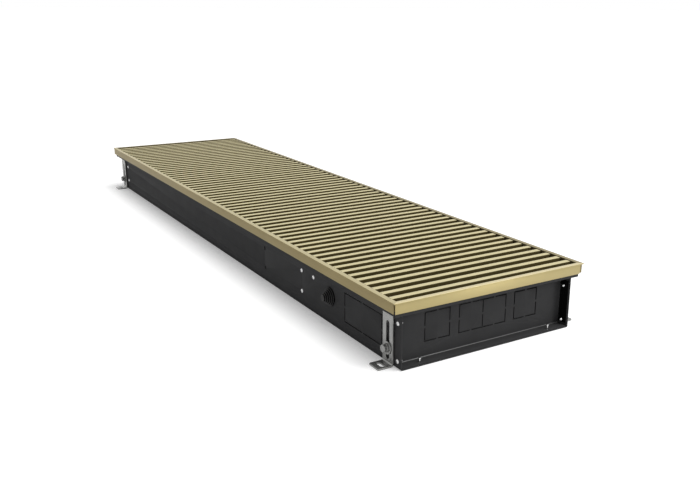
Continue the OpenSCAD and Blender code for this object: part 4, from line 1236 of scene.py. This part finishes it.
    def rivets(self) -> None:
        """Sets the rivets of the end plates, then those of the long walls, low where a foot slides past."""
        walls = [m for z in self.end_z for m in self.sides(self.end_x, self.wall, z)]
        ends = Shop.scatter("ends", self.rivet(self.head_r, self.head_h, self.grip), walls)
        flush = Shop.turned("floor_rivet", ORIGIN, Axis.Z, self.flush_rivet)
        floors = Shop.scatter("floors", flush, self.sides(self.floor_x, self.floor_y, 0.0))
        self.fit("end_rivets", RIVET, "bright_rivet", ends, floors)
        pairs = [m for x in self.pair_x for z in self.pair_z
                 for m in self.sides(x, self.wall, z, both_ends=False)]
        pairs += self.sides(self.box_x, self.wall, self.pair_z[1], both_ends=False, both_sides=False)
        heads = Shop.scatter("pairs", self.rivet(self.head_r, self.head_h, self.grip), pairs)
        low = self.rivet(self.low_head_r, self.low_head_h, self.foot_grip)
        lows = Shop.scatter("lows", low, self.sides(self.foot_x, self.wall, self.foot_rivet_z))
        self.fit("wall_rivets", RIVET, "bright_rivet", heads, lows)

    def screws(self) -> None:
        """Drives the black screws of the fan into the front wall, and those of the control box's lid."""
        fan = [m for z in self.pair_z
               for m in self.sides(self.fan_screw_x, self.wall, z, both_ends=False, both_sides=False)]
        in_wall = Shop.scatter("wall_screws", self.screw(Axis.Y), fan)
        down = Matrix.Rotation(math.pi, 4, "X")
        lid = [Matrix.Translation((x, self.lid_y, self.lid_z)) @ down for x in self.lid_screws]
        in_lid = Shop.scatter("lid_screws", self.screw(Axis.Z), lid)
        self.fit("black_screws", BLACK_SCREW, "black_screw", in_wall, in_lid)

    def bolts(self) -> None:
        """Bolts the feet on: a wide washer, a spring washer and the bolt's head, from the foot outwards."""
        head = self.foot_face + 2 * self.washer_t
        bolts = Shop.scatter("bolts", self.bolt(), self.sides(self.foot_x, head, self.bolt_z))
        self.fit("foot_bolts", BRIGHT_ZINC, "zinc", bolts, smooth=25)
        wide = Shop.scatter("wide", self.washer(self.wide_r, split=False),
                            self.sides(self.foot_x, self.foot_face, self.bolt_z))
        split = Shop.scatter("split", self.washer(self.split_r, split=True),
                             self.sides(self.foot_x, self.foot_face + self.washer_t, self.bolt_z))
        self.fit("foot_washers", BRIGHT_ZINC, "zinc", wide, split)

    def build(self) -> None:
        """Makes and dresses the fixings."""
        self.rivets()
        self.screws()
        self.bolts()


@dataclass(frozen=True)
class Grommet:
    """The stepped rubber grommet in the front wall, its tip still closed. Its outline is in millimetres."""

    at: tuple[float, float, float] = (419.5 * MM, -135 * MM, 40 * MM)
    flange_r: float = 13.0
    flange_t: float = 2.2
    neck_r: float = 9.9
    lip_r: float = 12.0
    tip_r: float = 1.5
    steps: int = 5
    step_h: float = 2.0
    step_r: float = 1.7
    share: float = 0.7
    soft: float = 0.45

    def build(self) -> None:
        """Turns and dresses the grommet."""
        outline = [(self.neck_r - 2.2, -3.0), (self.lip_r - 0.8, -3.0), (self.lip_r, -2.4),
                   (self.lip_r - 0.5, -1.1), (self.neck_r, -1.0), (self.neck_r, 0.02),
                   (self.flange_r - 0.2, 0.02), (self.flange_r, 0.4),
                   (self.flange_r, self.flange_t - self.soft), (self.flange_r - self.soft, self.flange_t)]
        for k in range(1, self.steps + 1):
            radius = self.flange_r - (k - 1 + self.share) * self.step_r
            low = self.flange_t + (k - 1) * self.step_h
            outline += [(radius + 0.25, low), (radius, low + 0.3),
                        (radius - 0.12, low + self.step_h - self.soft),
                        (radius - self.soft, low + self.step_h)]
        outline.append((self.tip_r, self.flange_t + self.steps * self.step_h))
        rubber = Shop.turned("visual_cable_grommet", self.at, Axis.FRONT, outline, sides=48)
        Shop.dress(rubber, GROMMET_SHADED, "trough", "black_rubber", "cable_grommet", smooth=30)
        # Faces towards the front take the lighter painted-light tone, and the rest the painted shade.
        Shop.part_finish(rubber, GROMMET_LIT, lambda c, n: n.y < -FACING)


@dataclass(frozen=True)
class Pipework:
    """The unions at the connection end, with their threads, and the air vent on the return.

    Outlines, threads and the screw's slot are in millimetres.
    """

    x: float = 347 * MM
    rows: tuple[tuple[str, float], ...] = (("supply_union", 18.8 * MM), ("return_union", 71.1 * MM))
    z: float = 50 * MM
    vent_x: float = 364.5 * MM
    vent_low: float = 58.875 * MM
    screw_z: float = 65.05 * MM
    vent_seat_r: float = 4.55 * MM
    vent_bore_r: float = 2.2 * MM
    vent_top: float = 66 * MM
    above_union: float = 70 * MM
    block: Outline = ((14.43, 0.0), (14.43, 11.0))
    mould: Outline = ((12.6, -0.01), (14.6, 1.1), (14.6, 9.9), (12.6, 11.01))
    barrel: Outline = ((11.6, 0.2), (11.6, 12.0), (12.0, 12.4), (12.0, 34.5), (11.6, 34.9), (11.6, 35.7),
                       (12.0, 36.1), (12.0, 37.4), (11.4, 38.0))
    socket: Outline = ((7.55, -1.0), (7.55, 10.05), (6.5, 10.05), (6.5, 24.0), (9.3, 24.0))
    thread: Thread = Thread(crest=9.3, root=8.7, start=24.4, step=0.9, count=14)
    mouth: Outline = ((10.2, 38.05), (10.2, 39.0))
    vent_body: Outline = ((4.2, 0.0), (4.5, 0.4), (4.5, 3.1), (4.1, 3.3), (4.1, 3.7), (4.5, 3.9), (4.5, 5.6),
                          (4.0, 6.125))
    vent_tip: Outline = ((1.6, -5.0),)
    vent_thread: Thread = Thread(crest=2.0, root=1.7, start=-4.9, step=0.4, count=11)
    vent_head: Outline = ((2.0, 0.0), (3.05, 0.0), (3.2, 0.25), (3.2, 1.2), (2.9, 1.6))
    vent_slot: tuple[Point, Point] = ((-5.0, -0.6, 0.8), (5.0, 0.6, 3.0))

    def union(self, name: str, y: float, vented: bool) -> bpy.types.Object:
        """Makes a union: chamfered hexagon, grooved barrel, tube socket and internal thread.

        Args:
            name: The piece's name.
            y: Its place across the trench.
            vented: Whether its top is bored for the vent.

        Returns:
            The union.
        """
        at = (self.x, y, self.z)
        union = Shop.hexagon(name, at, Axis.X, self.block, self.mould)
        Shop.weld(union, Shop.turned("barrel", at, Axis.X, self.barrel, sides=48))
        bore = (*self.socket, *self.thread.rings(), *self.mouth)
        Shop.drill(union, Shop.turned("drill", at, Axis.X, bore, sides=40))
        if vented:
            Shop.drill(union, Shop.rod("drill", (self.vent_x, y, self.z),
                                       (self.vent_x, y, self.above_union), self.vent_seat_r))
        return union

    def vent(self, y: float) -> None:
        """Turns and dresses the vent's grooved body and its slotted screw.

        Args:
            y: The return union's place across the trench.
        """
        foot = (self.vent_x, y, self.vent_low)
        body = Shop.turned("visual_bleed_valve", foot, Axis.Z, self.vent_body, sides=32)
        Shop.drill(body, Shop.rod("drill", (self.vent_x, y, self.vent_low - MM),
                                  (self.vent_x, y, self.vent_top), self.vent_bore_r, sides=24))
        Shop.dress(body, BRASS, "trough", "brass", "bleed_valve")
        seat = (self.vent_x, y, self.screw_z)
        outline = (*self.vent_tip, *self.vent_thread.rings(), *self.vent_head)
        screw = Shop.turned("visual_bleed_screw", seat, Axis.Z, outline, sides=32)
        Shop.drill(screw, Shop.box("drill", *(offset(seat, corner) for corner in self.vent_slot)))
        Shop.dress(screw, BRIGHT_ZINC, "bleed_screw", "zinc", "bleed_screw")

    def build(self) -> None:
        """Makes and dresses the unions and the vent."""
        for node, y in self.rows:
            vented = node == "return_union"
            Shop.dress(self.union("visual_" + node, y, vented), BRASS, "trough", "brass", node, smooth=25)
            if vented:
                self.vent(y)


@dataclass(frozen=True)
class Carried:
    """The CAD nodes whose shape stays and that only get a finish."""

    finishes: tuple[tuple[Finish, tuple[str, ...]], ...] = (
        (BLACK_SHEET, ("near_bulkhead", "far_bulkhead", "fan_housing")),
        (RIM_X_SHADED, ("rim_corner_keys",)),
        (RUBBER, ("ledge_strips", "motor_lead")),
        (COPPER, ("exchanger_tubes", "return_bends")),
        (FIN, ("exchanger_fins",)),
        (GALVANISED, ("exchanger_cradles", "motor_bracket", "foot_backing_plates", "foot_nuts")),
        (BRIGHT_ZINC, ("fan_shaft",)),
        (CAST_BLACK, ("fan_motor",)),
        (ROTOR, ("fan_rotor",)),
        (GREY_PLASTIC, ("fan_bearing", "control_box", "control_box_lid")),
        (WHITE_PLASTIC, ("terminal_block",)),
    )

    def build(self) -> None:
        """Gives each node its finish."""
        for finish, nodes in self.finishes:
            for node in nodes:
                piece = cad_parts[node]
                piece.data.materials.clear()
                piece.data.materials.append(finish.build())
                LOG.info("%s keeps its shape", node)


@dataclass(frozen=True)
class Studio:
    """The pale floor, white surroundings, soft lamps and the camera."""

    camera_place: tuple[float, float, float] = (1.3329, -0.6303, 0.4200)
    azimuth: float = 57.772
    elevation: float = 16.858
    roll: float = 0.4565
    sensor: float = 36.0
    lens: float = 42.145
    shift: float = -0.0447
    sight: float = 200.0
    floor_half: float = 40.0
    floor_sink: float = 0.2 * MM
    floor_tone: float = 0.86
    floor_glow: float = 0.27
    sky: float = 0.36
    sun: float = 2.3
    sun_from: tuple[float, float, float] = (0.25, 0.17, 1.0)
    sun_spread: float = 38.0
    side_power: float = 4.5
    side_size: float = 0.35
    side_place: tuple[float, float, float] = (1.436, 0.695, 0.588)
    side_aim: tuple[float, float, float] = (0.6, 0.0, 0.083)

    def camera(self) -> None:
        """Sets the camera at the photograph's viewpoint."""
        az, el, roll = (math.radians(v) for v in (self.azimuth, self.elevation, self.roll))
        back = Vector((math.sin(az) * math.cos(el), -math.cos(az) * math.cos(el), math.sin(el)))
        right = Vector((math.cos(az), math.sin(az), 0.0))
        up = back.cross(right)
        across = right * math.cos(roll) + up * math.sin(roll)
        upward = -right * math.sin(roll) + up * math.cos(roll)
        turn = Matrix((across, upward, back)).transposed().to_4x4()
        data = bpy.data.cameras.new("camera")
        data.sensor_width = self.sensor
        data.lens = self.lens
        data.shift_x = self.shift
        data.clip_end = self.sight
        camera = add_object("camera", data)
        camera.matrix_world = Matrix.Translation(self.camera_place) @ turn
        bpy.context.scene.camera = camera

    @staticmethod
    def seen_white(tree: bpy.types.NodeTree) -> bpy.types.NodeSocket:
        """Adds the test for rays that show the background.

        Args:
            tree: The node tree to add it to.

        Returns:
            A socket that is 1 for camera, glossy and transmission rays.
        """
        path = add_node(tree, "LightPath")
        total = path.outputs["Is Camera Ray"]
        for name in ("Is Glossy Ray", "Is Transmission Ray"):
            either = add_node(tree, "Math")
            either.operation = "MAXIMUM"
            tree.links.new(total, either.inputs[0])
            tree.links.new(path.outputs[name], either.inputs[1])
            total = either.outputs[0]
        return total

    def surroundings(self) -> None:
        """Sets the world: white where it is seen, softer where it lights."""
        world = bpy.data.worlds.new("surroundings")
        world.use_nodes = True
        bpy.context.scene.world = world
        tree = world.node_tree
        seen = self.seen_white(tree)
        lit = tree.nodes["Background"]
        lit.inputs["Color"].default_value = (1, 1, 1, 1)
        lit.inputs["Strength"].default_value = self.sky
        white = add_node(tree, "Background", Color=(1, 1, 1, 1), Strength=1.0)
        mix = add_node(tree, "MixShader")
        tree.links.new(seen, mix.inputs["Fac"])
        tree.links.new(lit.outputs[0], mix.inputs[1])
        tree.links.new(white.outputs[0], mix.inputs[2])
        tree.links.new(mix.outputs[0], tree.nodes["World Output"].inputs["Surface"])

    def floor(self) -> None:
        """Lays the pale floor, which keeps the shadow."""
        bpy.ops.object.select_all(action="DESELECT")
        bpy.ops.mesh.primitive_plane_add(size=2 * self.floor_half, location=(0, 0, -self.floor_sink))
        floor = bpy.context.active_object
        floor.name = "floor"
        paint = bpy.data.materials.new("floor_white")
        paint.use_nodes = True
        tree = paint.node_tree
        tree.nodes.remove(tree.nodes["Principled BSDF"])
        matt = add_node(tree, "BsdfDiffuse", Color=(self.floor_tone, self.floor_tone, self.floor_tone, 1))
        glow = add_node(tree, "Emission")
        faint = add_node(tree, "Math")
        faint.operation = "MULTIPLY"
        faint.inputs[1].default_value = self.floor_glow
        tree.links.new(self.seen_white(tree), faint.inputs[0])
        tree.links.new(faint.outputs[0], glow.inputs["Strength"])
        both = add_node(tree, "AddShader")
        tree.links.new(matt.outputs[0], both.inputs[0])
        tree.links.new(glow.outputs[0], both.inputs[1])
        tree.links.new(both.outputs[0], tree.nodes["Material Output"].inputs["Surface"])
        floor.data.materials.append(paint)

    def lamps(self) -> None:
        """Hangs the broad key light and the softer one beside the connection end."""
        key = bpy.data.lights.new("key", "SUN")
        key.energy = self.sun
        key.angle = math.radians(self.sun_spread)
        add_object("key", key).rotation_euler = aim(Vector(self.sun_from))
        side = bpy.data.lights.new("side", "AREA")
        side.energy, side.size = self.side_power, self.side_size
        lamp = add_object("side", side)
        lamp.location = self.side_place
        lamp.rotation_euler = aim(Vector(self.side_place) - Vector(self.side_aim))

    def build(self) -> None:
        """Sets up the whole studio."""
        self.camera()
        self.surroundings()
        self.floor()
        self.lamps()
        bpy.context.scene.view_settings.view_transform = "Standard"


def main() -> None:
    """Builds the pieces in order."""
    logging.basicConfig(level=logging.INFO, format="%(name)s %(message)s")
    Studio().build()
    for group in (Rim(), RollGrille(), SheetWork(), Fixings(), Grommet(), Pipework(), Carried()):
        group.build()
        LOG.info("%s done", type(group).__name__)


if __name__ == "__main__":
    main()
